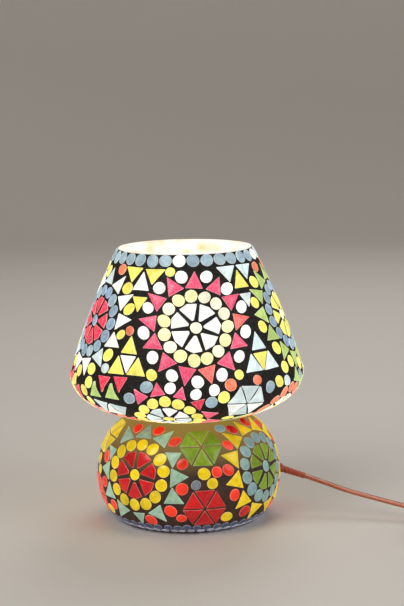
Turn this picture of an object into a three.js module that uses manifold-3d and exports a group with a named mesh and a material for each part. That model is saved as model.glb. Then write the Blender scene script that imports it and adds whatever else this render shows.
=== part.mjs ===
// Mosaic glass table lamp, in millimetres, +Z up, standing on z = 0 at the centre of its foot.
// Two blown glasses, an open shade and a closed base, wear coats of glass tiles set in grout. A spider
// plate and a yoke clamp them together at the neck and carry the lampholder. A flat twin cord leaves
// the base through a strain relief, lies coiled beside the lamp and ends in a switch and a plug.
import * as THREE from 'three';
import { mergeVertices } from 'three/addons/utils/BufferGeometryUtils.js';
import Module from 'manifold-3d';

const wasm = await Module();
wasm.setup();

// ---- driving dimensions -------------------------------------------------------------------------
const GAP = 0.3; // clearance between pieces that touch or seat on each other
const AROUND = 32; // sides of the glasses and their coats
const ROUND = 16; // sides of the small turned pieces

// glasses and coat: the outline is the tiles' outer face
const HEIGHT = 200;
const RIM_R = 49.2;
const SHADE_R = 85.6;
const SHADE_EDGE_Z = 109; // height of the shade's widest line
const SHADE_BULGE = 4.7; // how far the shade's wall bows out from a straight cone
const UNDERSIDE_RISE = 8; // how flat the shade's underside runs in to the neck
const CREASE_R = 41; // where the shade's and the base's tiles meet
const CREASE_Z = 77.6;
const NECK_R = 35; // glass outer radius in the neck
const NECK_HALF = 2; // half the height of the neck's groove
const WASHER = 1; // rubber between the two glasses
const BASE_R = 67.7;
const BASE_BULGE_Z = 32.5;
const SHOULDER_RUN = 14; // how the base's shoulder leaves the crease
const SHOULDER_DROP = 7.6;
const SHOULDER_RISE = 25.5;
const FOOT_R = 49.2;
const FOOT_RUN = 9.6;
const FOOT_LIFT = 0.6; // the coat ends this far above the table
const GLASS_WALL = 3;
const GLASS_FLOOR = 4;
const COAT = 3; // adhesive, tile and grout together

// fitting in the neck
const SEAT_IN_R = 34;
const SEAT_OUT_R = 42;
const GASKET = 1.2;
const PLATE = 1.6;
const YOKE = 2;
const YOKE_HALF_LENGTH = 41;
const YOKE_HALF_WIDTH = 18;
const SCREW_X = 24;
const SCREW_R = 1.5;
const SCREW_HEAD_R = 2.8;
const NUT_R = 3.1;

// small screw lampholder and bulb
const BARREL_R = 13.8;
const BARREL_WALL = 2;
const BARREL_ABOVE = 16; // barrel above the plate
const BARREL_BELOW = 20;
const SHOULDER_R = 17;
const RING_R = 19;
const RING_H = 5;
const CAP_H = 12.7;
const SOCKET_R = 7.5; // inner radius of the screw shell
const BULB_CAP_R = 6.9;
const BULB_R = 22.5;
const BULB_LENGTH = 78;
const BULB_SEAT = 5; // the bulb's contact sits this far below the plate's top
const BULB_GLASS = 0.8;

// cord, its exit and what is on it
const CORD_WIDE = 5.2;
const CORD_THICK = 2.6;
const EXIT_AZ = THREE.MathUtils.degToRad(6.7);
const EXIT_Z = 31.5;
const EXIT_HOLE_R = 4.2;
const BOOT_LENGTH = 20;
const BOOT_AIM = new THREE.Vector3(0.93, -0.25, -0.26).normalize();
const COIL_CENTRE = new THREE.Vector2(198.6, -82.4);
const COIL_IN_R = 19.8;
const COIL_OUT_R = 34.6;
const COIL_LOW = 0.9;
const COIL_HIGH = 11.5;
const TIE = 0.5;
const TIE_WIDTH = 6;
const SWITCH_X = 261;
const SWITCH_HALF = 31;
const SWITCH_HALF_WIDTH = 12;
const SWITCH_CORNER = 7;
const SWITCH_SPLIT = 7.4; // top of the switch's base
const SWITCH_HIGH = 15.2;
const SWITCH_WALL = 2;
const SWITCH_CORD_Z = 4;
const PIVOT_Z = 11;
const ROCKER_HALF = 9.5;
const ROCKER_WIDE = 9;
const ROCKER_TILT = THREE.MathUtils.degToRad(10);
const PIVOT_R = 1;
const SWITCH_SCREW_Y = 22;
const PLUG_AT = new THREE.Vector2(209, 22); // where the cord enters the plug
const PLUG_THICK = 13.7;
const PLUG_PITCH = 18.6;
const PIN_R = 2;
const PIN_OUT = 19;
const PIN_IN = 8;

// ---- finishes -----------------------------------------------------------------------------------
const finish = (color, roughness, metalness) =>
  new THREE.MeshStandardMaterial({ color, roughness, metalness });
const CLEAR_GLASS = finish(0xf2efe4, 0.12, 0);
const TILES = finish(0xe8c93a, 0.25, 0);
const BASE_TILES = finish(0xb8552e, 0.3, 0);
const RUBBER = finish(0x24211f, 0.85, 0);
const ZINC = finish(0xb9bcc0, 0.35, 1);
const BRASS = finish(0xc9a24a, 0.3, 1);
const WHITE_PLASTIC = finish(0xeeebe2, 0.45, 0);
const PORCELAIN = finish(0xf4f2ec, 0.3, 0);
const DARK_GLASS = finish(0x1b1a1c, 0.25, 0);
const TUNGSTEN = finish(0xffd9a0, 0.5, 1);
const CORD_PVC = finish(0xc07048, 0.35, 0);
const CORE_BROWN = finish(0x6b3a22, 0.5, 0);
const CORE_BLUE = finish(0x2d56a0, 0.5, 0);

const lamp = new THREE.Group();

function add(name, geometry, material, at = [0, 0, 0]) {
  const mesh = new THREE.Mesh(geometry, material);
  mesh.name = name;
  mesh.position.set(...at);
  lamp.add(mesh);
  return mesh;
}

// ---- solids -------------------------------------------------------------------------------------

// Merge shared corners, drop triangles without area and turn the faces outwards.
function closed(geometry) {
  const bare = new THREE.BufferGeometry();
  bare.setAttribute('position', geometry.getAttribute('position').clone());
  if (geometry.index) bare.setIndex(geometry.index.clone());
  const merged = mergeVertices(bare, 1e-4);
  const spot = merged.getAttribute('position');
  const index = merged.index.array;
  const corner = (i) => new THREE.Vector3().fromBufferAttribute(spot, i);
  const kept = [];
  let volume = 0;
  for (let i = 0; i < index.length; i += 3) {
    const [a, b, c] = [index[i], index[i + 1], index[i + 2]];
    if (a === b || b === c || c === a) continue;
    kept.push([a, b, c]);
    volume += corner(a).dot(corner(b).cross(corner(c)));
  }
  merged.setIndex(kept.flatMap(([a, b, c]) => (volume < 0 ? [a, c, b] : [a, b, c])));
  return merged;
}

// A body turned about Z from a closed outline of [radius, height] points.
function turned(outline, sides = ROUND) {
  const points = outline.map(([r, z]) => new THREE.Vector2(r, z));
  const onAxis = outline[0][0] === 0 && outline.at(-1)[0] === 0;
  if (!onAxis) points.push(points[0].clone());
  return closed(new THREE.LatheGeometry(points, sides).rotateX(Math.PI / 2));
}

// A plate of the given outline, from height low to height high.
function plate(shape, low, high) {
  const options = { depth: high - low, bevelEnabled: false, curveSegments: 5 };
  return closed(new THREE.ExtrudeGeometry(shape, options).translate(0, 0, low));
}

function box(low, high) {
  const size = high.map((value, i) => value - low[i]);
  const middle = high.map((value, i) => (value + low[i]) / 2);
  return closed(new THREE.BoxGeometry(...size).translate(...middle));
}

// A round bar between two points.
function bar(from, to, radius, sides = ROUND) {
  const a = new THREE.Vector3(...from);
  const b = new THREE.Vector3(...to);
  const along = b.clone().sub(a);
  const up = new THREE.Vector3(0, 1, 0);
  const turn = new THREE.Quaternion().setFromUnitVectors(up, along.clone().normalize());
  const rod = new THREE.CylinderGeometry(radius, radius, along.length(), sides);
  return closed(rod.applyQuaternion(turn).translate(...a.add(b).multiplyScalar(0.5).toArray()));
}

function toManifold(geometry) {
  const vertProperties = new Float32Array(geometry.getAttribute('position').array);
  const triVerts = new Uint32Array(geometry.index.array);
  return new wasm.Manifold(new wasm.Mesh({ numProp: 3, vertProperties, triVerts }));
}

function fromManifold(solid) {
  const { vertProperties, triVerts } = solid.getMesh();
  const geometry = new THREE.BufferGeometry();
  geometry.setAttribute('position', new THREE.BufferAttribute(new Float32Array(vertProperties), 3));
  geometry.setIndex(new THREE.BufferAttribute(new Uint32Array(triVerts), 1));
  return geometry;
}

function cut(geometry, ...tools) {
  return fromManifold(tools.reduce((solid, tool) => solid.subtract(toManifold(tool)), toManifold(geometry)));
}

function join(geometry, ...others) {
  return fromManifold(others.reduce((solid, other) => solid.add(toManifold(other)), toManifold(geometry)));
}

function roundedRectangle(halfX, halfY, corner) {
  const shape = new THREE.Shape();
  shape.moveTo(halfX, corner - halfY);
  shape.absarc(halfX - corner, halfY - corner, corner, 0, Math.PI / 2, false);
  shape.absarc(corner - halfX, halfY - corner, corner, Math.PI / 2, Math.PI, false);
  shape.absarc(corner - halfX, corner - halfY, corner, Math.PI, Math.PI * 1.5, false);
  shape.absarc(halfX - corner, corner - halfY, corner, Math.PI * 1.5, Math.PI * 2, false);
  return shape;
}

// A circle's corners, with more of them on a large one.
function circlePoints(radius, x = 0, sides = radius > 5 ? 28 : 12) {
  return Array.from({ length: sides }, (_, i) => {
    const angle = (i * Math.PI * 2) / sides;
    return new THREE.Vector2(x + radius * Math.cos(angle), radius * Math.sin(angle));
  });
}

function circle(radius, x) {
  return new THREE.Path().setFromPoints(circlePoints(radius, x));
}

// ---- outlines of the glasses ---------------------------------------------------------------------
const at = (r, z) => new THREE.Vector2(r, z);

// Shade from the rim down its side, round its edge and in along the underside to the crease.
const shadeSide = new THREE.QuadraticBezierCurve(
  at(RIM_R, HEIGHT),
  at((RIM_R + SHADE_R) / 2 + SHADE_BULGE, (HEIGHT + SHADE_EDGE_Z) / 2),
  at(SHADE_R, SHADE_EDGE_Z),
);
const shadeUnderside = new THREE.QuadraticBezierCurve(
  at(SHADE_R, SHADE_EDGE_Z),
  at(SHADE_R, CREASE_Z + UNDERSIDE_RISE),
  at(CREASE_R, CREASE_Z + GAP / 2),
);
// Base from the crease over its shoulder and round in to the foot.
const baseShoulder = new THREE.CubicBezierCurve(
  at(CREASE_R, CREASE_Z - GAP / 2),
  at(CREASE_R + SHOULDER_RUN, CREASE_Z - SHOULDER_DROP),
  at(BASE_R, BASE_BULGE_Z + SHOULDER_RISE),
  at(BASE_R, BASE_BULGE_Z),
);
const baseFoot = new THREE.CubicBezierCurve(
  at(BASE_R, BASE_BULGE_Z),
  at(BASE_R, BASE_BULGE_Z / 2),
  at(FOOT_R + FOOT_RUN, FOOT_LIFT),
  at(FOOT_R, FOOT_LIFT),
);
const chain = (...curves) => {
  const points = curves.flatMap(([curve, steps], i) => curve.getPoints(steps).slice(i ? 1 : 0));
  return points.map((p) => [p.x, p.y]);
};
const shadeLine = chain([shadeSide, 4], [shadeUnderside, 6]);
const baseLine = chain([baseShoulder, 6], [baseFoot, 5]);

// The line moved inwards by a distance; the lines run downwards with the inside on their right.
function inset(line, distance) {
  const normal = ([r0, z0], [r1, z1]) => new THREE.Vector2(z1 - z0, r0 - r1).normalize();
  return line.map((point, i) => {
    const before = normal(line[Math.max(i - 1, 0)], line[Math.max(i, 1)]);
    const after = normal(line[Math.min(i, line.length - 2)], line[Math.min(i + 1, line.length - 1)]);
    const middle = before.clone().add(after).normalize();
    const reach = distance / middle.dot(before);
    return [point[0] + middle.x * reach, point[1] + middle.y * reach];
  });
}

// The line's first stretch carried on up to a height.
function raised(line, z) {
  const [[r0, z0], [r1, z1]] = line;
  return [[r0 + ((r0 - r1) * (z - z0)) / (z0 - z1), z], ...line.slice(1)];
}

const glassOutShade = raised(inset(shadeLine, COAT + GAP), HEIGHT);
const glassInShade = raised(inset(shadeLine, COAT + GAP + GLASS_WALL), HEIGHT);
const glassOutBase = inset(baseLine, COAT + GAP);
const glassInBase = inset(baseLine, COAT + GAP + GLASS_WALL);
const NECK_BORE_R = NECK_R - GLASS_WALL;
const NECK_TOP = CREASE_Z + NECK_HALF + GLASS_WALL * 0.85;
const NECK_LOW = CREASE_Z - NECK_HALF - GLASS_WALL * 0.85;

function heightOn(line, radius) {
  for (let i = 1; i < line.length; i += 1) {
    const [[r0, z0], [r1, z1]] = [line[i - 1], line[i]];
    if ((radius - r0) * (radius - r1) <= 0) return z0 + ((z1 - z0) * (radius - r0)) / (r1 - r0);
  }
  return line[0][1];
}
function radiusOn(line, height) {
  for (let i = 1; i < line.length; i += 1) {
    const [[r0, z0], [r1, z1]] = [line[i - 1], line[i]];
    if ((height - z0) * (height - z1) <= 0) return r0 + ((r1 - r0) * (height - z0)) / (z1 - z0);
  }
  return line[0][0];
}
// The funnel that the upper gasket sits on, and the ceiling that the lower one presses on.
const funnel = [[NECK_BORE_R, NECK_TOP], ...[...glassInShade].reverse()];
const ceiling = [[NECK_BORE_R, NECK_LOW], ...glassInBase];

// ---- glasses and coat ----------------------------------------------------------------------------
const exitAlong = new THREE.Vector3(Math.cos(EXIT_AZ), Math.sin(EXIT_AZ), 0);
const onExit = (radius, z = EXIT_Z) => exitAlong.clone().multiplyScalar(radius).setZ(z).toArray();

function makeGlasses() {
  const seam = WASHER / 2 + GAP;
  const shade = [
    ...glassOutShade,
    [NECK_R, CREASE_Z + NECK_HALF],
    [NECK_R, CREASE_Z + seam],
    [NECK_BORE_R, CREASE_Z + seam],
    [NECK_BORE_R, NECK_TOP],
    ...[...glassInShade].reverse(),
  ];
  add('shade_glass', turned(shade, AROUND), CLEAR_GLASS);
  const base = [
    [0, GLASS_FLOOR],
    [FOOT_R - GLASS_WALL * 2, GLASS_FLOOR],
    ...glassInBase.slice(0, -1).reverse(),
    [NECK_BORE_R, NECK_LOW],
    [NECK_BORE_R, CREASE_Z - seam],
    [NECK_R, CREASE_Z - seam],
    [NECK_R, CREASE_Z - NECK_HALF],
    ...glassOutBase.slice(0, -1),
    [FOOT_R - 1.4, FOOT_LIFT + COAT + GAP],
    [FOOT_R - 1.6, 0.8],
    [FOOT_R - 2.6, 0],
    [0, 0],
  ];
  const hole = bar(onExit(BASE_R - 20), onExit(BASE_R + 10), EXIT_HOLE_R, 20);
  add('base_glass', cut(turned(base, AROUND), hole), CLEAR_GLASS);
  const washer = [
    [NECK_BORE_R, CREASE_Z - WASHER / 2],
    [NECK_R, CREASE_Z - WASHER / 2],
    [NECK_R, CREASE_Z + WASHER / 2],
    [NECK_BORE_R, CREASE_Z + WASHER / 2],
  ];
  add('neck_washer', turned(washer, AROUND), RUBBER);
}

function makeCoats() {
  const coatTop = HEIGHT - FOOT_LIFT;
  const shade = [
    ...raised(shadeLine, coatTop),
    [NECK_R + GAP, CREASE_Z + GAP / 2],
    [NECK_R + GAP, CREASE_Z + NECK_HALF - GAP],
    ...raised(inset(shadeLine, COAT), coatTop).reverse(),
  ];
  add('shade_mosaic', turned(shade, AROUND), TILES);
  const base = [
    ...baseLine,
    ...inset(baseLine, COAT).reverse(),
    [NECK_R + GAP, CREASE_Z - NECK_HALF + GAP],
    [NECK_R + GAP, CREASE_Z - GAP / 2],
  ];
  const hole = bar(onExit(BASE_R - 20), onExit(BASE_R + 10), EXIT_HOLE_R, 20);
  add('base_mosaic', cut(turned(base, AROUND), hole), BASE_TILES);
}

// ---- clamp in the neck --------------------------------------------------------------------------
const gasketLow = heightOn(funnel, SEAT_OUT_R) + GAP;
const PLATE_LOW = gasketLow + GASKET + GAP;
const PLATE_TOP = PLATE_LOW + PLATE;
const lowerSeatR = SEAT_OUT_R - 2;
const yokeTop = heightOn(ceiling, lowerSeatR) - GAP - GASKET - GAP;

function makeClamp() {
  const upper = [
    [SEAT_IN_R, heightOn(funnel, SEAT_IN_R) + GAP],
    [SEAT_OUT_R, gasketLow],
    [SEAT_OUT_R, gasketLow + GASKET],
    [SEAT_IN_R, gasketLow + GASKET],
  ];
  add('neck_gasket_upper', turned(upper, AROUND), RUBBER);
  const lowerZ = heightOn(ceiling, lowerSeatR) - GAP - GASKET;
  const lower = [
    [SEAT_IN_R, lowerZ],
    [lowerSeatR, lowerZ],
    [lowerSeatR, heightOn(ceiling, lowerSeatR) - GAP],
    [SEAT_IN_R, heightOn(ceiling, SEAT_IN_R) - GAP],
  ];
  add('neck_gasket_lower', turned(lower, AROUND), RUBBER);

  const spider = new THREE.Shape(circlePoints(SEAT_OUT_R + 1));
  spider.holes.push(circle(BARREL_R + GAP));
  const windowIn = RING_R + 1;
  const windowOut = SEAT_IN_R + 3;
  const windowHalf = THREE.MathUtils.degToRad(33);
  for (let quarter = 0; quarter < 4; quarter += 1) {
    const middle = Math.PI / 4 + (quarter * Math.PI) / 2;
    const window = new THREE.Path();
    window.absarc(0, 0, windowOut, middle - windowHalf, middle + windowHalf, false);
    window.absarc(0, 0, windowIn, middle + windowHalf, middle - windowHalf, true);
    window.closePath();
    spider.holes.push(window);
  }
  for (const x of [-SCREW_X, SCREW_X]) spider.holes.push(circle(SCREW_R + GAP, x));
  add('spider_plate', plate(spider, PLATE_LOW, PLATE_TOP), ZINC);

  const end = YOKE_HALF_WIDTH * 0.45;
  const yoke = new THREE.Shape();
  const corners = [
    [YOKE_HALF_LENGTH, -end],
    [YOKE_HALF_LENGTH, end],
    [YOKE_HALF_WIDTH, YOKE_HALF_WIDTH],
    [-YOKE_HALF_WIDTH, YOKE_HALF_WIDTH],
    [-YOKE_HALF_LENGTH, end],
    [-YOKE_HALF_LENGTH, -end],
    [-YOKE_HALF_WIDTH, -YOKE_HALF_WIDTH],
    [YOKE_HALF_WIDTH, -YOKE_HALF_WIDTH],
  ];
  yoke.setFromPoints(corners.map(([x, y]) => new THREE.Vector2(x, y)));
  yoke.holes.push(circle(BARREL_R + GAP * 2));
  for (const x of [-SCREW_X, SCREW_X]) yoke.holes.push(circle(SCREW_R + GAP, x));
  add('clamp_yoke', plate(yoke, yokeTop - YOKE, yokeTop), ZINC);

  const nutTop = yokeTop - YOKE - GAP;
  const nutH = 2.4;
  const screw = [
    [0, nutTop - nutH - 2],
    [SCREW_R, nutTop - nutH - 2],
    [SCREW_R, PLATE_TOP + GAP],
    [SCREW_HEAD_R, PLATE_TOP + GAP],
    [SCREW_HEAD_R, PLATE_TOP + GAP + 1.2],
    [SCREW_HEAD_R * 0.6, PLATE_TOP + GAP + 2],
    [0, PLATE_TOP + GAP + 2.1],
  ];
  for (const [side, x] of [['left', -SCREW_X], ['right', SCREW_X]]) {
    add(`clamp_screw_${side}`, turned(screw, 14), ZINC, [x, 0, 0]);
    const hexagon = new THREE.Shape(circlePoints(NUT_R, 0, 6));
    hexagon.holes.push(circle(SCREW_R + GAP));
    add(`clamp_nut_${side}`, plate(hexagon, nutTop - nutH, nutTop), ZINC, [x, 0, 0]);
  }
}

// ---- lampholder ---------------------------------------------------------------------------------
const BARREL_TOP = PLATE_TOP + BARREL_ABOVE;
const BARREL_LOW = PLATE_LOW - BARREL_BELOW;
const BARREL_IN_R = BARREL_R - BARREL_WALL;
const BULB_LOW = PLATE_TOP - BULB_SEAT;
const CORE_LOW = BARREL_LOW + 2;
const CORE_FLOOR = BULB_LOW - 3.1;
const CAP_LOW = BARREL_LOW - CAP_H;
const CAP_FLOOR = CAP_LOW + BARREL_WALL;
const CORD_TOP = CAP_FLOOR + 2.5;
const TERMINAL_LOW = CORD_TOP + 2.3;
const TERMINAL_H = 4.4;
const TERMINAL_X = 6;

function makeHolder() {
  const shell = [
    [BARREL_IN_R, BARREL_LOW],
    [BARREL_R, BARREL_LOW],
    [BARREL_R, PLATE_LOW - GAP - 2.5],
    [SHOULDER_R, PLATE_LOW - GAP - 2.5],
    [SHOULDER_R, PLATE_LOW - GAP],
    [BARREL_R, PLATE_LOW - GAP],
    [BARREL_R, BARREL_TOP],
    [BARREL_IN_R, BARREL_TOP],
  ];
  add('holder_shell', turned(shell), WHITE_PLASTIC);
  const ring = [
    [BARREL_R + GAP, PLATE_TOP + GAP],
    [RING_R, PLATE_TOP + GAP],
    [RING_R, PLATE_TOP + GAP + RING_H - 1],
    [RING_R - 1, PLATE_TOP + GAP + RING_H],
    [BARREL_R + GAP, PLATE_TOP + GAP + RING_H],
  ];
  add('shade_ring', turned(ring), WHITE_PLASTIC);
  const cap = [
    [CORD_WIDE / 2 + 0.6, CAP_LOW],
    [BARREL_R - 4, CAP_LOW],
    [BARREL_R, CAP_LOW + 5],
    [BARREL_R, BARREL_LOW - GAP],
    [BARREL_IN_R, BARREL_LOW - GAP],
    [BARREL_IN_R, CAP_LOW + 5.6],
    [BARREL_IN_R - 3.4, CAP_FLOOR],
    [CORD_WIDE / 2 + 0.6, CAP_FLOOR],
  ];
  add('holder_cap', turned(cap), WHITE_PLASTIC);
  const stemR = 1.5;
  const core = [
    [stemR + GAP, CORE_LOW],
    [BARREL_IN_R - GAP, CORE_LOW],
    [BARREL_IN_R - GAP, BARREL_TOP - 1.6],
    [SOCKET_R + 0.9, BARREL_TOP - 1.6],
    [SOCKET_R + 0.9, CORE_FLOOR],
    [stemR + GAP, CORE_FLOOR],
  ];
  add('holder_core', turned(core), PORCELAIN);
  const thread = [
    [SOCKET_R, CORE_FLOOR + GAP],
    [SOCKET_R + 0.6, CORE_FLOOR + GAP],
    [SOCKET_R + 0.6, BARREL_TOP - 2],
    [SOCKET_R, BARREL_TOP - 2],
  ];
  add('socket_thread', turned(thread), BRASS);
  const stemLow = TERMINAL_LOW + TERMINAL_H + GAP;
  const contact = [
    [0, stemLow],
    [stemR, stemLow],
    [stemR, CORE_FLOOR + GAP],
    [4, CORE_FLOOR + GAP],
    [4, CORE_FLOOR + GAP + 0.8],
    [1.2, BULB_LOW - GAP - 0.1],
    [0, BULB_LOW - GAP],
  ];
  add('centre_contact', turned(contact, 14), BRASS);

  const high = TERMINAL_LOW + TERMINAL_H;
  const middle = TERMINAL_LOW + TERMINAL_H / 2;
  for (const [name, side] of [['live', -1], ['neutral', 1]]) {
    const block = box([-3, -3.5, TERMINAL_LOW], [3, 3.5, high]).translate(side * TERMINAL_X, 0, 0);
    const spot = [side * TERMINAL_X, -3.8, middle];
    const tapped = bar([spot[0], -5, middle], [spot[0], 0.9, middle], 1.4, 12);
    add(`terminal_${name}`, cut(block, tapped), BRASS);
    const shank = bar(spot, [spot[0], 0.5, middle], 1.1, 12);
    const head = bar([spot[0], -4.9, middle], spot, 1.9, 12);
    add(`terminal_screw_${name}`, join(shank, head), ZINC);
    const wire = new THREE.CatmullRomCurve3([
      new THREE.Vector3(side * CORD_WIDE * 0.25, 0, CORD_TOP + GAP),
      new THREE.Vector3(side * CORD_WIDE * 0.6, 0, CORD_TOP + 1.1),
      new THREE.Vector3(side * (TERMINAL_X - 0.6), 0, TERMINAL_LOW - GAP - 0.35),
    ]);
    const section = new THREE.Shape(circlePoints(0.5, 0, 8));
    const copper = new THREE.ExtrudeGeometry(section, { steps: 4, extrudePath: wire });
    add(`core_${name}`, closed(copper), side < 0 ? CORE_BROWN : CORE_BLUE);
  }
  const grip = [
    [CORD_WIDE / 2 + 0.6, CAP_FLOOR + GAP],
    [BARREL_IN_R - 5.5, CAP_FLOOR + GAP],
    [BARREL_IN_R - 5.5, CORD_TOP - GAP],
    [CORD_WIDE / 2 + 0.6, CORD_TOP - GAP],
  ];
  add('cord_grip', turned(grip), WHITE_PLASTIC);
}

// ---- bulb ---------------------------------------------------------------------------------------
function makeBulb() {
  const top = BULB_LOW + BULB_LENGTH;
  const middle = top - BULB_R;
  const capLow = BULB_LOW + 3.8;
  const capTop = BULB_LOW + 23.4;
  const neckLow = capTop + GAP;
  const neckR = BULB_CAP_R + 0.2;

  add('bulb_contact', turned([
    [0, BULB_LOW],
    [1.8, BULB_LOW + GAP],
    [1.8, BULB_LOW + 0.8],
    [0, BULB_LOW + 0.8],
  ], 14), ZINC);
  add('bulb_insulator', turned([
    [0, BULB_LOW + 1.1],
    [2.4, BULB_LOW + 1.1],
    [BULB_CAP_R - 1.1, capLow - 0.6],
    [BULB_CAP_R - 1.1, capLow - GAP],
    [0, capLow - GAP],
  ]), DARK_GLASS);
  add('bulb_cap', turned([
    [BULB_CAP_R - 2.7, capLow],
    [BULB_CAP_R, capLow + 0.5],
    [BULB_CAP_R, capTop],
    [BULB_CAP_R - 0.6, capTop],
    [BULB_CAP_R - 0.6, capLow + 1.1],
    [BULB_CAP_R - 2.7, capLow + 0.6],
  ]), ZINC);

  // The globe's outline: a short neck that opens into a ball, and the same ball less its wall.
  const ball = (radius, from) => {
    const start = Math.asin(from / radius);
    const steps = 7;
    return Array.from({ length: steps + 1 }, (_, i) => {
      const angle = start + ((Math.PI - start) * i) / steps;
      return [i === steps ? 0 : radius * Math.sin(angle), middle - radius * Math.cos(angle)];
    });
  };
  const outside = [[neckR, neckLow], [neckR + 0.5, neckLow + 4], ...ball(BULB_R, neckR + 4)];
  const inner = BULB_R - BULB_GLASS;
  const neckIn = neckR - BULB_GLASS;
  const inside = [[neckIn, neckLow], [neckIn + 0.5, neckLow + 4], ...ball(inner, neckR + 3)];
  add('bulb_glass', turned([...inside.reverse(), ...outside], 20), CLEAR_GLASS);

  const stemTop = middle - 18;
  add('bulb_stem', turned([
    [0, neckLow + GAP],
    [neckR - BULB_GLASS - GAP, neckLow + GAP],
    [neckR - BULB_GLASS - GAP, neckLow + GAP + 0.8],
    [3, neckLow + 2.4],
    [2.2, stemTop],
    [0, stemTop],
  ], 14), CLEAR_GLASS);
  const spread = 7;
  const wireR = 0.4;
  for (const [side, sign] of [['left', -1], ['right', 1]]) {
    const foot = [sign * 1.2, 0, stemTop + GAP + 0.2];
    add(`bulb_wire_${side}`, bar(foot, [sign * spread, 0, middle - GAP], wireR, 8), ZINC);
  }
  const arch = new THREE.QuadraticBezierCurve3(
    new THREE.Vector3(-spread, 0, middle + 0.6),
    new THREE.Vector3(0, 0, middle + 6),
    new THREE.Vector3(spread, 0, middle + 0.6),
  );
  const section = new THREE.Shape(circlePoints(0.6, 0, 8));
  add('bulb_filament', closed(new THREE.ExtrudeGeometry(section, { steps: 8, extrudePath: arch })), TUNGSTEN);
}

// ---- cord ---------------------------------------------------------------------------------------

// A route whose section keeps one axis level, so that a flat cord lies flat.
class LevelRoute extends THREE.CatmullRomCurve3 {
  computeFrenetFrames(steps) {
    const tangents = [];
    const normals = [];
    const binormals = [];
    for (let i = 0; i <= steps; i += 1) {
      const along = this.getTangentAt(i / steps).normalize();
      const side = new THREE.Vector3(-along.y, along.x, 0).normalize();
      tangents.push(along);
      binormals.push(side);
      normals.push(side.clone().cross(along).normalize());
    }
    return { tangents, normals, binormals };
  }
}

// The flat cord's section: thickness along the shape's x, width along its y, with round edges.
function cordSection() {
  const r = CORD_THICK / 2;
  const out = CORD_WIDE / 2 - r;
  const points = [];
  for (const [side, start] of [[1, 0], [-1, Math.PI]]) {
    for (let i = 0; i < 4; i += 1) {
      const angle = start + (i * Math.PI) / 3;
      points.push(new THREE.Vector2(r * Math.cos(angle), side * out + r * Math.sin(angle)));
    }
  }
  return new THREE.Shape(points);
}

function cordAlong(route, steps) {
  return closed(new THREE.ExtrudeGeometry(cordSection(), { steps, extrudePath: route }));
}

const toRoute = (points, Route = LevelRoute) =>
  new Route(points.map((p) => new THREE.Vector3(...p)), false, 'centripetal');

function coilOutline(extra = 0) {
  const round = 1.2;
  return [
    [COIL_IN_R - extra, COIL_LOW - extra + round],
    [COIL_IN_R - extra + round, COIL_LOW - extra],
    [COIL_OUT_R + extra - round, COIL_LOW - extra],
    [COIL_OUT_R + extra, COIL_LOW - extra + round],
    [COIL_OUT_R + extra, COIL_HIGH + extra - round],
    [COIL_OUT_R + extra - round, COIL_HIGH + extra],
    [COIL_IN_R - extra + round, COIL_HIGH + extra],
    [COIL_IN_R - extra, COIL_HIGH + extra - round],
  ];
}

function makeExit() {
  // collar in the drilled hole, an inner flange, and a tapered boot that leans the way the cord goes
  const wallIn = BASE_R - COAT - GAP - GLASS_WALL;
  const collarR = EXIT_HOLE_R - GAP;
  const flangeR = collarR + 2;
  // the wall curves in above, below and beside the hole, so the flange stays inside its nearest part
  const wallNear = Math.min(...[-flangeR, flangeR].map((dz) => radiusOn(glassInBase, EXIT_Z + dz)));
  const flangeOut = Math.sqrt((wallNear * Math.cos(Math.PI / AROUND)) ** 2 - flangeR ** 2) - GAP;
  const flangeIn = flangeOut - 2;
  const collar = bar(onExit(flangeIn + 1), onExit(BASE_R + 0.2), collarR, 16);
  const flange = bar(onExit(flangeIn), onExit(flangeOut), flangeR, 16);
  const root = new THREE.Vector3(...onExit(BASE_R + 0.2));
  const tip = root.clone().addScaledVector(BOOT_AIM, BOOT_LENGTH);
  const long = BOOT_LENGTH;
  const boot = turned([[0, 0], [3.3, 0], [3.3, 4], [2.9, long - 1], [2.7, long], [0, long]]);
  boot.scale(0.75, 1, 1);
  const side = new THREE.Vector3(-BOOT_AIM.y, BOOT_AIM.x, 0).normalize();
  const up = side.clone().cross(BOOT_AIM).normalize();
  boot.applyMatrix4(new THREE.Matrix4().makeBasis(up, side, BOOT_AIM).setPosition(root));
  add('strain_relief', join(collar, flange, closed(boot)), CORD_PVC);

  const inner = [
    onExit(flangeIn - GAP),
    onExit(wallIn - 12, EXIT_Z - 0.6),
    onExit(wallIn - 27, EXIT_Z - 2.5),
    onExit(wallIn - 43, EXIT_Z - 2),
    onExit(6, EXIT_Z + 4),
    onExit(1, CAP_LOW - 9),
    [0, 0, CAP_LOW - 1],
    [0, 0, CORD_TOP],
  ];
  add('inner_cord', cordAlong(toRoute(inner, THREE.CatmullRomCurve3), 14), CORD_PVC);

  const start = tip.clone().addScaledVector(BOOT_AIM, GAP).toArray();
  const route = [
    [101, -1.8, 21.9],
    [116, -7.2, 17.5],
    [136, -15.3, 13.4],
    [156, -24.6, 10],
    [176, -34.5, 6.6],
    [195, -44, 4.2],
    [213, -52.7, 3.5],
  ];
  // a wider base carries the boot outwards, and the cord starts at the first point well ahead of it
  const ahead = (point) => new THREE.Vector3(...point).sub(tip).dot(BOOT_AIM) > CORD_WIDE * 2;
  const run = [start, ...route.filter(ahead)];
  const coil = turned(coilOutline(GAP), 40).translate(COIL_CENTRE.x, COIL_CENTRE.y, 0);
  // nothing of the cord lies behind the end of the boot
  const boots = bar(root.toArray(), start, CORD_WIDE, 16);
  add('cord_run', cut(cordAlong(toRoute(run), 20), coil, boots), CORD_PVC);
}

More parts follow.
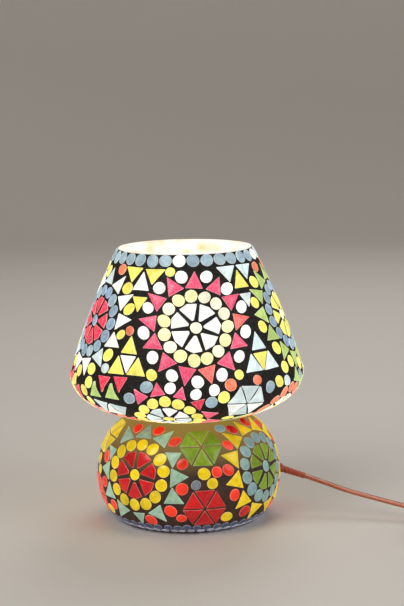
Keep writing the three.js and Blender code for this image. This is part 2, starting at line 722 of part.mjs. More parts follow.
function makeCoil() {
  add('cord_coil', turned(coilOutline(), 28), CORD_PVC, [COIL_CENTRE.x, COIL_CENTRE.y, 0]);
  // a flat tie round the ring's section, on its front side
  const loop = new THREE.Shape();
  const centreR = (COIL_IN_R + COIL_OUT_R) / 2;
  const halfR = (COIL_OUT_R - COIL_IN_R) / 2 + GAP * 2; // the ring curves within the tie's width
  const middleZ = (COIL_LOW + COIL_HIGH) / 2;
  const halfZ = (COIL_HIGH - COIL_LOW) / 2 + GAP;
  const corners = (x, z) => [[-x, -z], [x, -z], [x, z], [-x, z]].map((p) => new THREE.Vector2(...p));
  loop.setFromPoints(corners(halfR + TIE, halfZ + TIE));
  loop.holes.push(new THREE.Path().setFromPoints(corners(halfR, halfZ).reverse()));
  const tie = new THREE.ExtrudeGeometry(loop, { depth: TIE_WIDTH, bevelEnabled: false });
  tie.translate(0, 0, -TIE_WIDTH / 2).rotateX(Math.PI / 2).rotateZ(Math.PI / 2);
  add('coil_tie', closed(tie), RUBBER, [COIL_CENTRE.x, COIL_CENTRE.y - centreR, middleZ]);
}

function makeTails() {
  const tail = [
    [219.9, -57, 8.8],
    [229.5, -62, 7],
    [240.3, -62.5, 4.9],
    [250.3, -58.4, 3.2],
    [257.7, -50.4, 2.6],
    [260.7, -41, 3.3],
    [SWITCH_X, -SWITCH_HALF - GAP, SWITCH_CORD_Z],
  ];
  const coil = turned(coilOutline(GAP), 40).translate(COIL_CENTRE.x, COIL_CENTRE.y, 0);
  add('cord_tail', cut(cordAlong(toRoute(tail), 10), coil), CORD_PVC);
  const lead = [
    [SWITCH_X, SWITCH_HALF + GAP, SWITCH_CORD_Z],
    [SWITCH_X - 0.5, 41, 3.2],
    [256, 54, 2.2],
    [246, 63, 1.9],
    [235, 66, 1.8],
    [224, 63, 2.2],
    [214, 54, 3.6],
    [PLUG_AT.x + 0.5, 41, 5.6],
    [PLUG_AT.x, PLUG_AT.y + GAP, PLUG_THICK / 2],
  ];
  add('cord_lead', cordAlong(toRoute(lead), 14), CORD_PVC);
}

// ---- switch on the cord -------------------------------------------------------------------------
function makeSwitch() {
  const place = [SWITCH_X, 0, 0];
  const outline = roundedRectangle(SWITCH_HALF_WIDTH, SWITCH_HALF, SWITCH_CORNER);
  const pocketX = SWITCH_HALF_WIDTH - SWITCH_WALL;
  const pocketY = SWITCH_HALF - SWITCH_WALL * 2;
  const pocket = roundedRectangle(pocketX, pocketY, SWITCH_CORNER - SWITCH_WALL);
  const low = 0.1;
  const coverLow = SWITCH_SPLIT + GAP;
  const roof = SWITCH_HIGH - SWITCH_WALL;
  const screwR = 1.3;
  const headH = 1.3;
  const holeR = screwR + GAP;
  const ends = [-SWITCH_SCREW_Y, SWITCH_SCREW_Y];

  const tray = cut(plate(outline, low, SWITCH_SPLIT), plate(pocket, low + SWITCH_WALL, SWITCH_SPLIT + 1));
  const posts = ends.map((y) => bar([0, y, low + 1], [0, y, SWITCH_SPLIT], 3.4, 16));
  const holes = ends.flatMap((y) => [
    bar([0, y, -1], [0, y, SWITCH_SPLIT + 1], holeR, 14),
    bar([0, y, -1], [0, y, low + 0.6 + headH], screwR + 1.4, 14),
  ]);
  add('switch_base', cut(join(tray, ...posts), ...holes), WHITE_PLASTIC, place);

  const shell = cut(plate(outline, coverLow, SWITCH_HIGH), plate(pocket, coverLow - 1, roof));
  const bosses = ends.map((y) => bar([0, y, coverLow], [0, y, roof + 0.5], 3.4, 16));
  const lugs = [-1, 1].map((side) =>
    box([side * 6.6 - 1.2, -2.6, PIVOT_Z - 2.6], [side * 6.6 + 1.2, 2.6, roof + 0.5]));
  const slotX = ROCKER_WIDE / 2 + 0.5;
  const slotY = ROCKER_HALF + 1.2;
  const slot = box([-slotX, -slotY, roof - 1], [slotX, slotY, SWITCH_HIGH + 1]);
  const bores = ends.map((y) => bar([0, y, coverLow - 1], [0, y, roof - 1.2], holeR, 14));
  const pivotBore = bar([-12, 0, PIVOT_Z], [12, 0, PIVOT_Z], PIVOT_R + GAP, 14);
  const inside = box([-9, -3, PIVOT_Z - 2], [9, 3, PIVOT_Z + 2]);
  const bore = fromManifold(toManifold(pivotBore).intersect(toManifold(inside)));
  add('switch_cover', cut(join(shell, ...bosses, ...lugs), slot, bore, ...bores), WHITE_PLASTIC, place);

  // rocker: a shallow V on top, round underneath, tilted to its "on" side at rest
  const profile = new THREE.Shape();
  profile.moveTo(-ROCKER_HALF, 4.6);
  profile.lineTo(-ROCKER_HALF + 0.3, 2.2);
  profile.lineTo(-4, -1.2);
  profile.quadraticCurveTo(0, -4.4, 4, -1.2);
  profile.lineTo(ROCKER_HALF - 0.3, 2.2);
  profile.lineTo(ROCKER_HALF, 4.6);
  profile.quadraticCurveTo(0, 2.4, -ROCKER_HALF, 4.6);
  profile.holes.push(circle(PIVOT_R + GAP));
  const thickness = { depth: ROCKER_WIDE, bevelEnabled: false, curveSegments: 6 };
  const rocker = new THREE.ExtrudeGeometry(profile, thickness);
  rocker.translate(0, 0, -ROCKER_WIDE / 2).rotateZ(-ROCKER_TILT).rotateX(Math.PI / 2).rotateZ(Math.PI / 2);
  add('switch_rocker', closed(rocker), RUBBER, [SWITCH_X, 0, PIVOT_Z]);
  add('rocker_pin', bar([-7.4, 0, 0], [7.4, 0, 0], PIVOT_R, 12), ZINC, [SWITCH_X, 0, PIVOT_Z]);

  const screwLow = low + 0.4;
  const screw = [
    [0, screwLow],
    [screwR + 1, screwLow],
    [screwR + 1, screwLow + headH],
    [screwR, screwLow + headH],
    [screwR, roof - 2],
    [0, roof - 2],
  ];
  add('switch_screw_front', turned(screw, 12), ZINC, [SWITCH_X, -SWITCH_SCREW_Y, 0]);
  add('switch_screw_back', turned(screw, 12), ZINC, [SWITCH_X, SWITCH_SCREW_Y, 0]);

  // the live core's two contacts under the rocker: a fixed block and a leaf
  const floor = low + SWITCH_WALL + GAP;
  add('switch_contact', box([-2.5, 9, floor], [2.5, 15, floor + 2.2]), BRASS, place);
  add('switch_leaf', box([-2.5, -15, floor + 0.8], [2.5, 8, floor + 1.4]), BRASS, place);
}

// ---- plug ---------------------------------------------------------------------------------------
function makePlug() {
  // local x across the plug, local y from the cord to the pins
  const outline = [[-5, 0], [5, 0], [8.5, 9], [13, 13], [13, 34], [11.5, 35.5]];
  const mirrored = outline.slice(2).reverse().map(([x, y]) => [-x, y]);
  const shape = new THREE.Shape([...outline, ...mirrored].map((p) => new THREE.Vector2(...p)));
  const low = 0.1;
  const middle = low + PLUG_THICK / 2;
  const face = 35.5;
  const pinX = (side) => (side * PLUG_PITCH) / 2;
  const sockets = [-1, 1].map((side) =>
    bar([pinX(side), face - PIN_IN, middle], [pinX(side), face + 1, middle], PIN_R + GAP, 16));
  const turn = (geometry) => geometry.rotateZ(Math.PI).translate(PLUG_AT.x, PLUG_AT.y, 0);
  add('plug_body', turn(cut(plate(shape, low, low + PLUG_THICK), ...sockets)), WHITE_PLASTIC);
  for (const [name, side] of [['left', -1], ['right', 1]]) {
    const x = pinX(side);
    const pin = bar([x, face - PIN_IN + GAP, middle], [x, face + PIN_OUT, middle], PIN_R, 16);
    add(`plug_pin_${name}`, turn(pin), BRASS);
  }
}

makeGlasses();
makeCoats();
makeClamp();
makeHolder();
makeBulb();
makeExit();
makeCoil();
makeTails();
makeSwitch();
makePlug();

export default lamp;
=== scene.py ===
# Looks of the mosaic glass table lamp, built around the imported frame. Blender works in metres; sizes
# here are written in millimetres and pass through mm() or MM.
import math
import random
import bmesh
import bpy
from mathutils import Matrix, Vector


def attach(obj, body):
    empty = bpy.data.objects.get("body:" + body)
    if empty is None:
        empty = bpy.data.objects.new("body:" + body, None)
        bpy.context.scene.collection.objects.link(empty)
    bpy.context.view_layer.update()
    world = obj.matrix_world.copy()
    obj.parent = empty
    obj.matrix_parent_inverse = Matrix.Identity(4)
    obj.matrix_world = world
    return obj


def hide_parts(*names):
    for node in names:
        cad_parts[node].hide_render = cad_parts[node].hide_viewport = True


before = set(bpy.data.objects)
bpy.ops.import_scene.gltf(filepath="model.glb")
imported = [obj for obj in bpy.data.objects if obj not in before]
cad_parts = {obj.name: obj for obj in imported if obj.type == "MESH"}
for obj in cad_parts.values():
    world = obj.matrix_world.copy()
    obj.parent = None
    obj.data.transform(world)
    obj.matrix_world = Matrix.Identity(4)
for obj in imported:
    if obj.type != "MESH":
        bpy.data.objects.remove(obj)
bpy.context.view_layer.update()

MM = 0.001
TAU = 2 * math.pi
scene = bpy.context.scene


def mm(*xyz):
    return Vector(xyz) * MM


def ink(red, green, blue):
    """A colour given as it looks on a screen, 0 to 255, as Blender's linear numbers."""
    parts = [value / 255 for value in (red, green, blue)]
    return tuple(((p + 0.055) / 1.055) ** 2.4 if p > 0.04 else p / 12.92 for p in parts)


# ---- camera, floor and light
# the camera's place, turn and lens were fitted to the photograph
CAMERA_AT = (11.85, -1100, 320.3)
CAMERA_PITCH = math.radians(8.40)
CAMERA_ROLL = math.radians(-0.96)
CAMERA_LENS = 90.52
SENSOR_WIDE = 36
WORLD_LEVEL = 0.2

# the floor is a dish: flat out to FLOOR_R, then swept up into a wall
FLOOR_Z = -0.2
FLOOR_R, SWEEP_R, WALL_HIGH = 1900, 700, 2200
SWEEP_STEPS, FLOOR_SIDES = 12, 64


def make_camera():
    data = bpy.data.cameras.new("camera")
    data.lens = CAMERA_LENS
    data.sensor_width = SENSOR_WIDE
    camera = bpy.data.objects.new("camera", data)
    turn = Matrix.Rotation(math.pi / 2 - CAMERA_PITCH, 4, "X") @ Matrix.Rotation(CAMERA_ROLL, 4, "Z")
    camera.matrix_world = Matrix.Translation(mm(*CAMERA_AT)) @ turn
    scene.collection.objects.link(camera)
    scene.camera = camera


def area_light(name, at, aim, size, watts, colour):
    """A round soft light at a place in mm, aimed at another; its size is in metres."""
    data = bpy.data.lights.new(name, "AREA")
    data.shape = "DISK"
    data.size = size
    data.energy = watts
    data.color = colour
    light = bpy.data.objects.new(name, data)
    light.location = mm(*at)
    light.rotation_euler = (mm(*aim) - mm(*at)).to_track_quat("-Z", "Y").to_euler()
    scene.collection.objects.link(light)


def make_lights():
    area_light("key_light", (-900, -1100, 1500), (0, 0, 80), 1.3, 15, (1, 0.97, 0.93))
    area_light("fill_light", (1300, -700, 900), (0, 0, 80), 1.2, 6.5, (0.93, 0.96, 1))
    area_light("back_light", (300, 1100, 1400), (0, 0, 100), 1.0, 7, (1, 0.98, 0.95))
    world = bpy.data.worlds.new("studio")
    world.use_nodes = True
    sky = world.node_tree.nodes["Background"]
    sky.inputs["Color"].default_value = (0.93, 0.94, 1, 1)
    sky.inputs["Strength"].default_value = WORLD_LEVEL
    scene.world = world
    scene.view_settings.view_transform = "Standard"


def make_floor():
    """A pale floor that sweeps up into a wall all round, out of the lights' way."""
    profile = [(0, FLOOR_Z), (FLOOR_R, FLOOR_Z)]
    for k in range(1, SWEEP_STEPS + 1):
        angle = math.pi / 2 * k / SWEEP_STEPS
        profile.append((FLOOR_R + SWEEP_R * math.sin(angle), SWEEP_R * (1 - math.cos(angle)) + FLOOR_Z))
    profile.append((FLOOR_R + SWEEP_R, WALL_HIGH))
    faces = rings_to_faces(len(profile), FLOOR_SIDES)[:-2]
    floor = new_object("floor", ring_points(profile, FLOOR_SIDES), faces, 60)
    floor.data.materials.append(principled("pale_floor", ink(222, 216, 208), 0.6)[0])


# ---- meshes
def shaded(name, mesh, sharp_angle):
    """An object of the mesh, shaded smooth up to an angle in degrees."""
    mesh.polygons.foreach_set("use_smooth", [True] * len(mesh.polygons))
    mesh.set_sharp_from_angle(angle=math.radians(sharp_angle))
    piece = bpy.data.objects.new(name, mesh)
    scene.collection.objects.link(piece)
    return piece


def new_object(name, verts, faces, sharp_angle=40):
    """An object from points in metres, with doubled points joined and faces turned outwards."""
    mesh = bpy.data.meshes.new(name)
    mesh.from_pydata([tuple(v) for v in verts], [], faces)
    shape = bmesh.new()
    shape.from_mesh(mesh)
    bmesh.ops.remove_doubles(shape, verts=shape.verts, dist=2e-6)
    bmesh.ops.recalc_face_normals(shape, faces=shape.faces)
    shape.to_mesh(mesh)
    shape.free()
    return shaded(name, mesh, sharp_angle)


def finish_piece(piece, material, slot, *replaces, body="lamp"):
    """Gives a piece its material and body, and hides the CAD pieces that it stands for."""
    piece.data.materials.append(material)
    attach(piece, body)
    if replaces:
        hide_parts(*replaces)
    return piece


def rings_to_faces(count, sides, closed=False):
    """Faces between rings of points; without closed, the first and last ring get a cap."""
    faces = []
    for i in range(count if closed else count - 1):
        for j in range(sides):
            a, b = i * sides, (i + 1) % count * sides
            k = (j + 1) % sides
            faces.append((a + j, a + k, b + k, b + j))
    if not closed:
        faces.append(tuple(range(sides)))
        faces.append(tuple((count - 1) * sides + j for j in range(sides)))
    return faces


def ring_points(outline, sides):
    """Rings of points round Z, one for each (radius, height) in mm."""
    angles = [TAU * j / sides for j in range(sides)]
    return [mm(r * math.cos(a), r * math.sin(a), z) for r, z in outline for a in angles]


def turned(name, outline, sides=96):
    """A body turned about Z from a closed outline of (radius, height) in mm."""
    return new_object(name, ring_points(outline, sides), rings_to_faces(len(outline), sides, closed=True))


def rounded(outline, radius, steps=3, keep_axis=True):
    """An outline with its corners cut round, within 0.45 of either side; corners on the axis stay."""
    result = []
    for i, point in enumerate(outline):
        here = Vector(point)
        before = Vector(outline[i - 1]) - here
        after = Vector(outline[(i + 1) % len(outline)]) - here
        if keep_axis and point[0] == 0:
            result.append(point)
            continue
        reach = min(radius, before.length * 0.45, after.length * 0.45)
        start = here + before.normalized() * reach
        end = here + after.normalized() * reach
        for k in range(steps + 1):
            t = k / steps
            spot = start * (1 - t) ** 2 + here * 2 * t * (1 - t) + end * t**2
            result.append(tuple(spot))
    return result


def swept(name, path, section_at):
    """A tube: section_at(i) gives the points, in metres, of the ring for the path's item i."""
    rings = [section_at(i) for i in range(len(path))]
    verts = [point for ring in rings for point in ring]
    return new_object(name, verts, rings_to_faces(len(path), len(rings[0])), sharp_angle=50)


def smooth_path(points, spacing):
    """A Catmull-Rom curve through the points, in steps of about spacing."""
    points = [Vector(p) for p in points]
    ends = [points[0] * 2 - points[1]] + points + [points[-1] * 2 - points[-2]]
    path = []
    for i in range(1, len(ends) - 2):
        a, b, c, d = ends[i - 1 : i + 3]
        steps = max(2, round((c - b).length / spacing))
        for k in range(steps):
            t = k / steps
            spot = b * 2 + (c - a) * t + (a * 2 - b * 5 + c * 4 - d) * t**2
            path.append((spot + (b * 3 - a - c * 3 + d) * t**3) / 2)
    return path + [points[-1]]


# ---- materials
def principled(name, colour, roughness, metallic=0.0):
    material = bpy.data.materials.new(name)
    material.use_nodes = True
    shader = material.node_tree.nodes["Principled BSDF"]
    give(material.node_tree, shader, Base_Color=colour, Roughness=roughness, Metallic=metallic)
    return material, material.node_tree, shader


def feed(tree, value, socket):
    """Links a node's output to the socket, or sets the socket to a number or a colour."""
    if isinstance(value, bpy.types.NodeSocket):
        tree.links.new(value, socket)
    else:
        socket.default_value = (*value, 1) if isinstance(value, tuple) else value


def give(tree, node, **values):
    """Feeds several sockets of a node; an underscore stands for a space in a socket's name."""
    for name, value in values.items():
        feed(tree, value, node.inputs[name.replace("_", " ")])


def new_node(tree, kind, **values):
    node = tree.nodes.new("ShaderNode" + kind)
    give(tree, node, **values)
    return node


def own_place(tree):
    return new_node(tree, "TexCoord").outputs["Object"]


def place_noise(tree, scale, detail=3, roughness=0.55, distortion=0.0):
    noise = new_node(tree, "TexNoise", Scale=scale, Detail=detail, Roughness=roughness)
    give(tree, noise, Distortion=distortion, Vector=own_place(tree))
    return noise.outputs["Fac"]


def spread(tree, value, low, high, from_low=0.3, from_high=0.7):
    """The value stretched from one range to another, held inside it."""
    node = new_node(tree, "MapRange", From_Min=from_low, From_Max=from_high, To_Min=low, To_Max=high)
    give(tree, node, Value=value)
    return node.outputs["Result"]


def blend_colours(tree, amount, first, second, mode="MIX"):
    node = new_node(tree, "Mix")
    node.data_type = "RGBA"
    node.blend_type = mode
    give(tree, node, Factor=amount, A=first, B=second)
    return node.outputs["Result"]


def dimmed(tree, look, share):
    return blend_colours(tree, 1.0, look, (share, share, share), "MULTIPLY")


def multiply(tree, first, second):
    node = new_node(tree, "Math")
    node.operation = "MULTIPLY"
    feed(tree, first, node.inputs[0])
    feed(tree, second, node.inputs[1])
    return node.outputs["Value"]


def bump(tree, shader, height, strength, distance):
    """Relief on the shader's normal; distance is in mm."""
    node = new_node(tree, "Bump", Strength=strength, Distance=distance * MM, Height=height)
    give(tree, shader, Normal=node.outputs["Normal"])


def worked_surface(name, colour, worn, roughness, scale, grain, metallic=0.0):
    """Colour that drifts between two shades, uneven gloss and a fine grain of so many mm."""
    material, tree, shader = principled(name, colour, roughness, metallic)
    drift = spread(tree, place_noise(tree, scale, 4), 0, 1)
    gloss = spread(tree, place_noise(tree, scale * 2.3, 2), roughness * 0.8, roughness * 1.25)
    give(tree, shader, Base_Color=blend_colours(tree, drift, colour, worn), Roughness=gloss)
    bump(tree, shader, place_noise(tree, scale * 9, 2), 0.5, grain)
    return material


def attribute(tree, name, output):
    node = new_node(tree, "Attribute")
    node.attribute_name = name
    return node.outputs[output]


def tile_material(name, backlight, cover, frost, rim):
    """Cut art glass lit from behind: mottled, streaked, paler along its ground edges. Backlight is the
    glow's strength, cover how much of the colour shows by room light, frost and rim how much paler the
    streaks and the edges are."""
    material, tree, shader = principled(name, (0.5, 0.5, 0.5), 0.2)
    tint = attribute(tree, "tint", "Color")
    edge = attribute(tree, "edge", "Fac")
    glow = attribute(tree, "glow", "Fac")
    clouds = place_noise(tree, 170, 4, 0.6, 0.6)
    grains = place_noise(tree, 620, 4, 0.6, 1.8)
    streaked = blend_colours(tree, spread(tree, grains, 0, frost, 0.45, 0.8), tint, (1.0, 0.97, 0.9))
    pale_edge = blend_colours(tree, multiply(tree, edge, rim), streaked, (1.0, 0.93, 0.8))
    level = multiply(tree, spread(tree, clouds, 0.72, 1.12), glow)
    shade = new_node(tree, "CombineColor", Red=level, Green=level, Blue=level)
    lit = blend_colours(tree, 1.0, pale_edge, shade.outputs["Color"], "MULTIPLY")
    give(tree, shader, Emission_Color=lit, Emission_Strength=backlight, IOR=1.5)
    give(tree, shader, Base_Color=dimmed(tree, lit, cover), Roughness=spread(tree, grains, 0.12, 0.3))
    bump(tree, shader, place_noise(tree, 420, 3, 0.5, 0.8), 0.6, 0.12)
    return material


def glowing_glass(name, colour, blotch, strength, cell, cover=0.4):
    """Frosted glass bright from the bulb, with faint round blotches, cell mm apart, as from tiles
    behind it."""
    material, tree, shader = principled(name, colour, 0.4)
    cells = new_node(tree, "TexVoronoi")
    cells.feature = "SMOOTH_F1"
    give(tree, cells, Scale=1 / (cell * MM), Randomness=0.75, Vector=own_place(tree))
    patches = spread(tree, cells.outputs["Distance"], 1, 0, 0.22, 0.5)
    drift = spread(tree, place_noise(tree, 26, 2, 0.4), 0.15, 1, 0.4, 0.62)
    look = blend_colours(tree, multiply(tree, patches, drift), colour, blotch)
    gloss = spread(tree, place_noise(tree, 220, 2), 0.3, 0.5)
    give(tree, shader, Emission_Color=look, Emission_Strength=strength)
    give(tree, shader, Base_Color=dimmed(tree, look, cover), Roughness=gloss)
    bump(tree, shader, place_noise(tree, 440, 2), 0.3, 0.1)
    return material


# ---- cord: route, coil and what is on it
CORD_WIDE, CORD_THICK = 5.2, 2.6
CORD_STEP = 3.0
BOOT_ROOT = Vector((67.44, 7.92, 31.5))
BOOT_AIM = Vector((0.93, -0.25, -0.26)).normalized()
BOOT_LENGTH = 20
RUN = [
    (86.36, 2.83, 26.21), (101, -1.8, 21.9), (116, -7.2, 17.5), (136, -15.3, 13.4),
    (156, -24.6, 10), (176, -34.5, 6.6), (195, -44, 4.2), (213, -52.7, 3.5),
]
TAIL = [
    (219.9, -57, 8.8), (229.5, -62, 7), (240.3, -62.5, 4.9), (250.3, -58.4, 3.2),
    (257.7, -50.4, 2.6), (260.7, -41, 3.3), (261, -31.3, 4),
]
LEAD = [
    (261, 31.3, 4), (260.5, 41, 3.2), (256, 54, 2.2), (246, 63, 1.9),
    (235, 66, 1.8), (224, 63, 2.2), (214, 54, 3.6), (209.5, 41, 5.6),
    (209, 22.3, 6.85),
]
COIL_AT = (198.6, -82.4)
COIL_FROM = math.radians(64.2)
COIL_LOW_Z, COIL_HIGH_Z = 3.5, 8.8
COIL_OUTER = 33.0
COIL_PITCH = 2.7
COIL_LAYER = 4
COIL_TURNS = 8.04
COIL_CLIMB = 0.15  # turns in half of the rise to the upper layer
COIL_NARROWS = 1.4  # how far the rising turn draws in
COIL_STEPS = 48
TWIST_RUN = 40  # the stretch before and after the coil over which the cord turns on edge
BOOT_SIDES, BOOT_RIBS, RIB_PITCH = 32, 5, 3.1
BOOT_FLAT = 0.76  # the boot's height over its width


def coil_path():
    """The wound turns: inwards on the lower layer, up, and outwards on the upper one."""
    path = []
    inner = COIL_OUTER - COIL_PITCH * COIL_LAYER
    for i in range(1, round(COIL_TURNS * COIL_STEPS)):
        turn = i / COIL_STEPS
        radius = inner + COIL_PITCH * abs(turn - COIL_LAYER)
        climb = min(max((turn - COIL_LAYER + COIL_CLIMB) / (2 * COIL_CLIMB), 0), 1)
        radius -= COIL_NARROWS * math.sin(math.pi * climb)
        height = COIL_LOW_Z + (COIL_HIGH_Z - COIL_LOW_Z) * climb * climb * (3 - 2 * climb)
        angle = COIL_FROM - TAU * turn
        spot = (COIL_AT[0] + radius * math.cos(angle), COIL_AT[1] + radius * math.sin(angle), height)
        path.append(Vector(spot))
    return path


def flat_section():
    """The twin cord's outline: two round lobes that meet in a shallow groove."""
    lobe = CORD_THICK / 2
    outline = []
    for side in (1, -1):
        for k in range(7):
            angle = math.radians(-75 + 25 * k)
            outline.append((side * (lobe + lobe * math.cos(angle)), side * lobe * math.sin(angle)))
    return outline


def make_cord(name, path, on_edge, replaces, material):
    """on_edge gives, for each point, how far the cord has turned from flat (0) to on edge (1)."""
    outline = flat_section()

    def ring(i):
        ahead = (path[min(i + 1, len(path) - 1)] - path[max(i - 1, 0)]).normalized()
        flat = ahead.cross(Vector((0, 0, 1))).normalized()
        upright = flat.cross(ahead)
        turn = on_edge[i] * math.pi / 2
        wide = flat * math.cos(turn) + upright * math.sin(turn)
        thick = wide.cross(ahead)
        return [(path[i] + wide * a + thick * b) * MM for a, b in outline]

    piece = swept(name, path, ring)
    finish_piece(piece, material, "cord_pvc", *replaces)


def along(path):
    """Each point's distance from the start of the path."""
    total, result = 0.0, [0.0]
    for a, b in zip(path, path[1:]):
        total += (b - a).length
        result.append(total)
    return result


def make_cords(material):
    """The cord from the boot through the coil to the switch, and the lead from there to the plug."""
    run = smooth_path(RUN, CORD_STEP)
    coil = coil_path()
    tail = smooth_path(TAIL, CORD_STEP)
    path = run + coil + tail
    far = along(path)
    coil_from, coil_to = far[len(run) - 1], far[len(run) + len(coil)]
    on_edge = []
    for d in far:
        away = max(coil_from - d, d - coil_to, 0)
        share = min(max(1 - away / TWIST_RUN, 0), 1)
        on_edge.append(share * share * (3 - 2 * share))
    solids = ("cord_run", "cord_coil", "cord_tail")
    make_cord("cord", path, on_edge, solids, material)
    lead = smooth_path(LEAD, CORD_STEP)
    flat = [0] * len(lead)
    solids = ("cord_lead",)
    make_cord("cord_to_plug", lead, flat, solids, material)


def cord_material():
    """Clear PVC over copper strands: a coppery colour under a gloss coat."""
    material, tree, shader = principled("cord_pvc", ink(180, 84, 44), 0.32, 0.25)
    strands = place_noise(tree, 1500, 2, 0.5, 1.5)
    look = blend_colours(tree, spread(tree, strands, 0, 1), ink(166, 70, 34), ink(206, 116, 66))
    give(tree, shader, Base_Color=look, Coat_Weight=0.7, Coat_Roughness=0.12)
    bump(tree, shader, strands, 0.35, 0.08)
    return material


def make_boot(material):
    """The strain relief: a collar in the glass and a ribbed, tapering tail that the cord leaves."""
    side = Vector((-BOOT_AIM.y, BOOT_AIM.x, 0)).normalized()
    up = side.cross(BOOT_AIM)
    profile = [(-5.5, 3.4), (-1.5, 3.6), (-0.6, 4.6), (0.6, 4.7), (1.4, 4.3), (2.0, 3.5)]
    for k in range(BOOT_RIBS):
        here = 3.6 + RIB_PITCH * k
        wide = 3.4 - 0.12 * k
        groove = ((0, 0.06), (0.4, 0.32), (1.0, 0.34), (1.4, 0.1))
        profile += [(here + far, wide - depth) for far, depth in groove]
    profile += [(BOOT_LENGTH - 0.6, 2.85), (BOOT_LENGTH, 2.72), (BOOT_LENGTH, 2.4)]

    def ring(i):
        far, radius = profile[i]
        middle = BOOT_ROOT + BOOT_AIM * far
        wide, tall = side * radius, up * radius * BOOT_FLAT
        angles = [TAU * j / BOOT_SIDES for j in range(BOOT_SIDES)]
        return [(middle + wide * math.cos(a) + tall * math.sin(a)) * MM for a in angles]

    piece = swept("strain_relief_boot", profile, ring)
    return finish_piece(piece, material, "strain_relief", "strain_relief")


# ---- outlines of the lamp
def bezier(*points, steps=40):
    """Points on the curve with these control points, by De Casteljau's steps."""
    result = []
    for k in range(steps + 1):
        t = k / steps
        level = [Vector(p) for p in points]
        while len(level) > 1:
            level = [a * (1 - t) + b * t for a, b in zip(level, level[1:])]
        result.append(level[0])
    return result


SHADE_SIDE = bezier((49.2, 200), (72.1, 154.5), (85.6, 109))
SHADE_UNDERSIDE = bezier((85.6, 109), (85.6, 85.6), (41, 77.75))
BASE_SHOULDER = bezier((41, 77.45), (55, 70), (67.7, 58), (67.7, 32.5))
BASE_FOOT = bezier((67.7, 32.5), (67.7, 16.25), (58.8, 0.6), (49.2, 0.6))


class Skin:
    """A surface turned about Z. A place on it is an angle in degrees, 0 at the front and growing to
    the right, and a distance s in mm down its outline."""

    def __init__(self, *curves):
        line = [p for i, curve in enumerate(curves) for p in curve[1 if i else 0 :]]
        self.line = line
        self.far = along(line)
        self.length = self.far[-1]

    def spot(self, s):
        """Radius, height and the outline's direction at s."""
        s = min(max(s, 0.01), self.length - 0.01)
        i = next(k for k in range(1, len(self.far)) if self.far[k] >= s)
        a, b = self.line[i - 1], self.line[i]
        t = (s - self.far[i - 1]) / (self.far[i] - self.far[i - 1])
        place = a.lerp(b, t)
        return place.x, place.y, (b - a).normalized()

    def point(self, az, s):
        r, z, _ = self.spot(s)
        return Vector((r * math.sin(math.radians(az)), -r * math.cos(math.radians(az)), z))

    def axes(self, az, s):
        """Unit vectors to the right, down the outline and out of the surface."""
        _, _, way = self.spot(s)
        a = math.radians(az)
        right = Vector((math.cos(a), math.sin(a), 0))
        down = Vector((way.x * math.sin(a), -way.x * math.cos(a), way.y))
        return right, down, down.cross(right)


def inset_line(line, distance):
    """The outline moved towards the inside of the lamp."""
    result = []
    for i, p in enumerate(line):
        way = (line[min(i + 1, len(line) - 1)] - line[max(i - 1, 0)]).normalized()
        result.append((p.x + way.y * distance, p.y - way.x * distance))
    return result


# ---- mosaic
TILE_DEEP = 2.0
SINK_MOST = 0.25
TILT_MOST = 0.025
CROWN = 0.14  # how far a tile's middle stands above its edge
# a tile's section from the bottom up: height and inset in mm, and how far it counts as a ground edge
TILE_SECTION = ((-TILE_DEEP, 0, 1), (-0.42, 0, 1), (-0.13, 0.2, 0.75), (0, 0.6, 0))
NUDGE_ANGLES = [TAU * k / 8 for k in range(8)]
FILLER_SIDE = 11.5
GROUT_BELOW, GROUT_DEEP = 0.45, 2.95


def jittered(outline, amount, rng):
    return [(x + rng.uniform(-amount, amount), y + rng.uniform(-amount, amount)) for x, y in outline]


def dot_outline(radius, rng, sides=14):
    """A hand-nibbled disc: a little out of round, with one side often flatter."""
    stretch = rng.uniform(0.93, 1.06)
    lean = rng.uniform(0, math.pi)
    flat_at = rng.uniform(0, TAU)
    result = []
    for k in range(sides):
        angle = TAU * k / sides
        reach = radius * (1 + (stretch - 1) * math.cos(2 * (angle - lean)))
        reach *= 1 - 0.07 * max(0, math.cos(angle - flat_at)) ** 4
        reach += rng.uniform(-0.08, 0.08)
        result.append((reach * math.sin(angle), -reach * math.cos(angle)))
    return result


def turn_shift(outline, angle, du=0.0, dv=0.0):
    """The outline turned clockwise, seen from outside, then moved."""
    c, s = math.cos(angle), math.sin(angle)
    return [(x * c - y * s + du, x * s + y * c + dv) for x, y in outline]


def triangle_outline(width, height):
    """A triangle that points up, about its centroid."""
    return [(0, -height * 2 / 3), (width / 2, height / 3), (-width / 2, height / 3)]


def wedge_outline(inner, outer, half_angle):
    """A petal between two radii, pointing up from a hub at (0, 0)."""
    slim = half_angle * 0.35
    reach = [(-half_angle, outer * 0.985), (0, outer * 1.03), (half_angle, outer * 0.985)]
    reach += [(slim, inner), (-slim, inner)]
    return [(r * math.sin(a), -r * math.cos(a)) for a, r in reach]


def apart(first, second, gap):
    """Whether two convex outlines stay at least gap apart."""
    for outline in (first, second):
        for i, p in enumerate(outline):
            q = outline[i - 1]
            nx, ny = q[1] - p[1], p[0] - q[0]
            size = math.hypot(nx, ny)
            if size < 1e-6:
                continue
            a = [(x * nx + y * ny) / size for x, y in first]
            b = [(x * nx + y * ny) / size for x, y in second]
            if min(b) - max(a) >= gap or min(a) - max(b) >= gap:
                return True
    return False


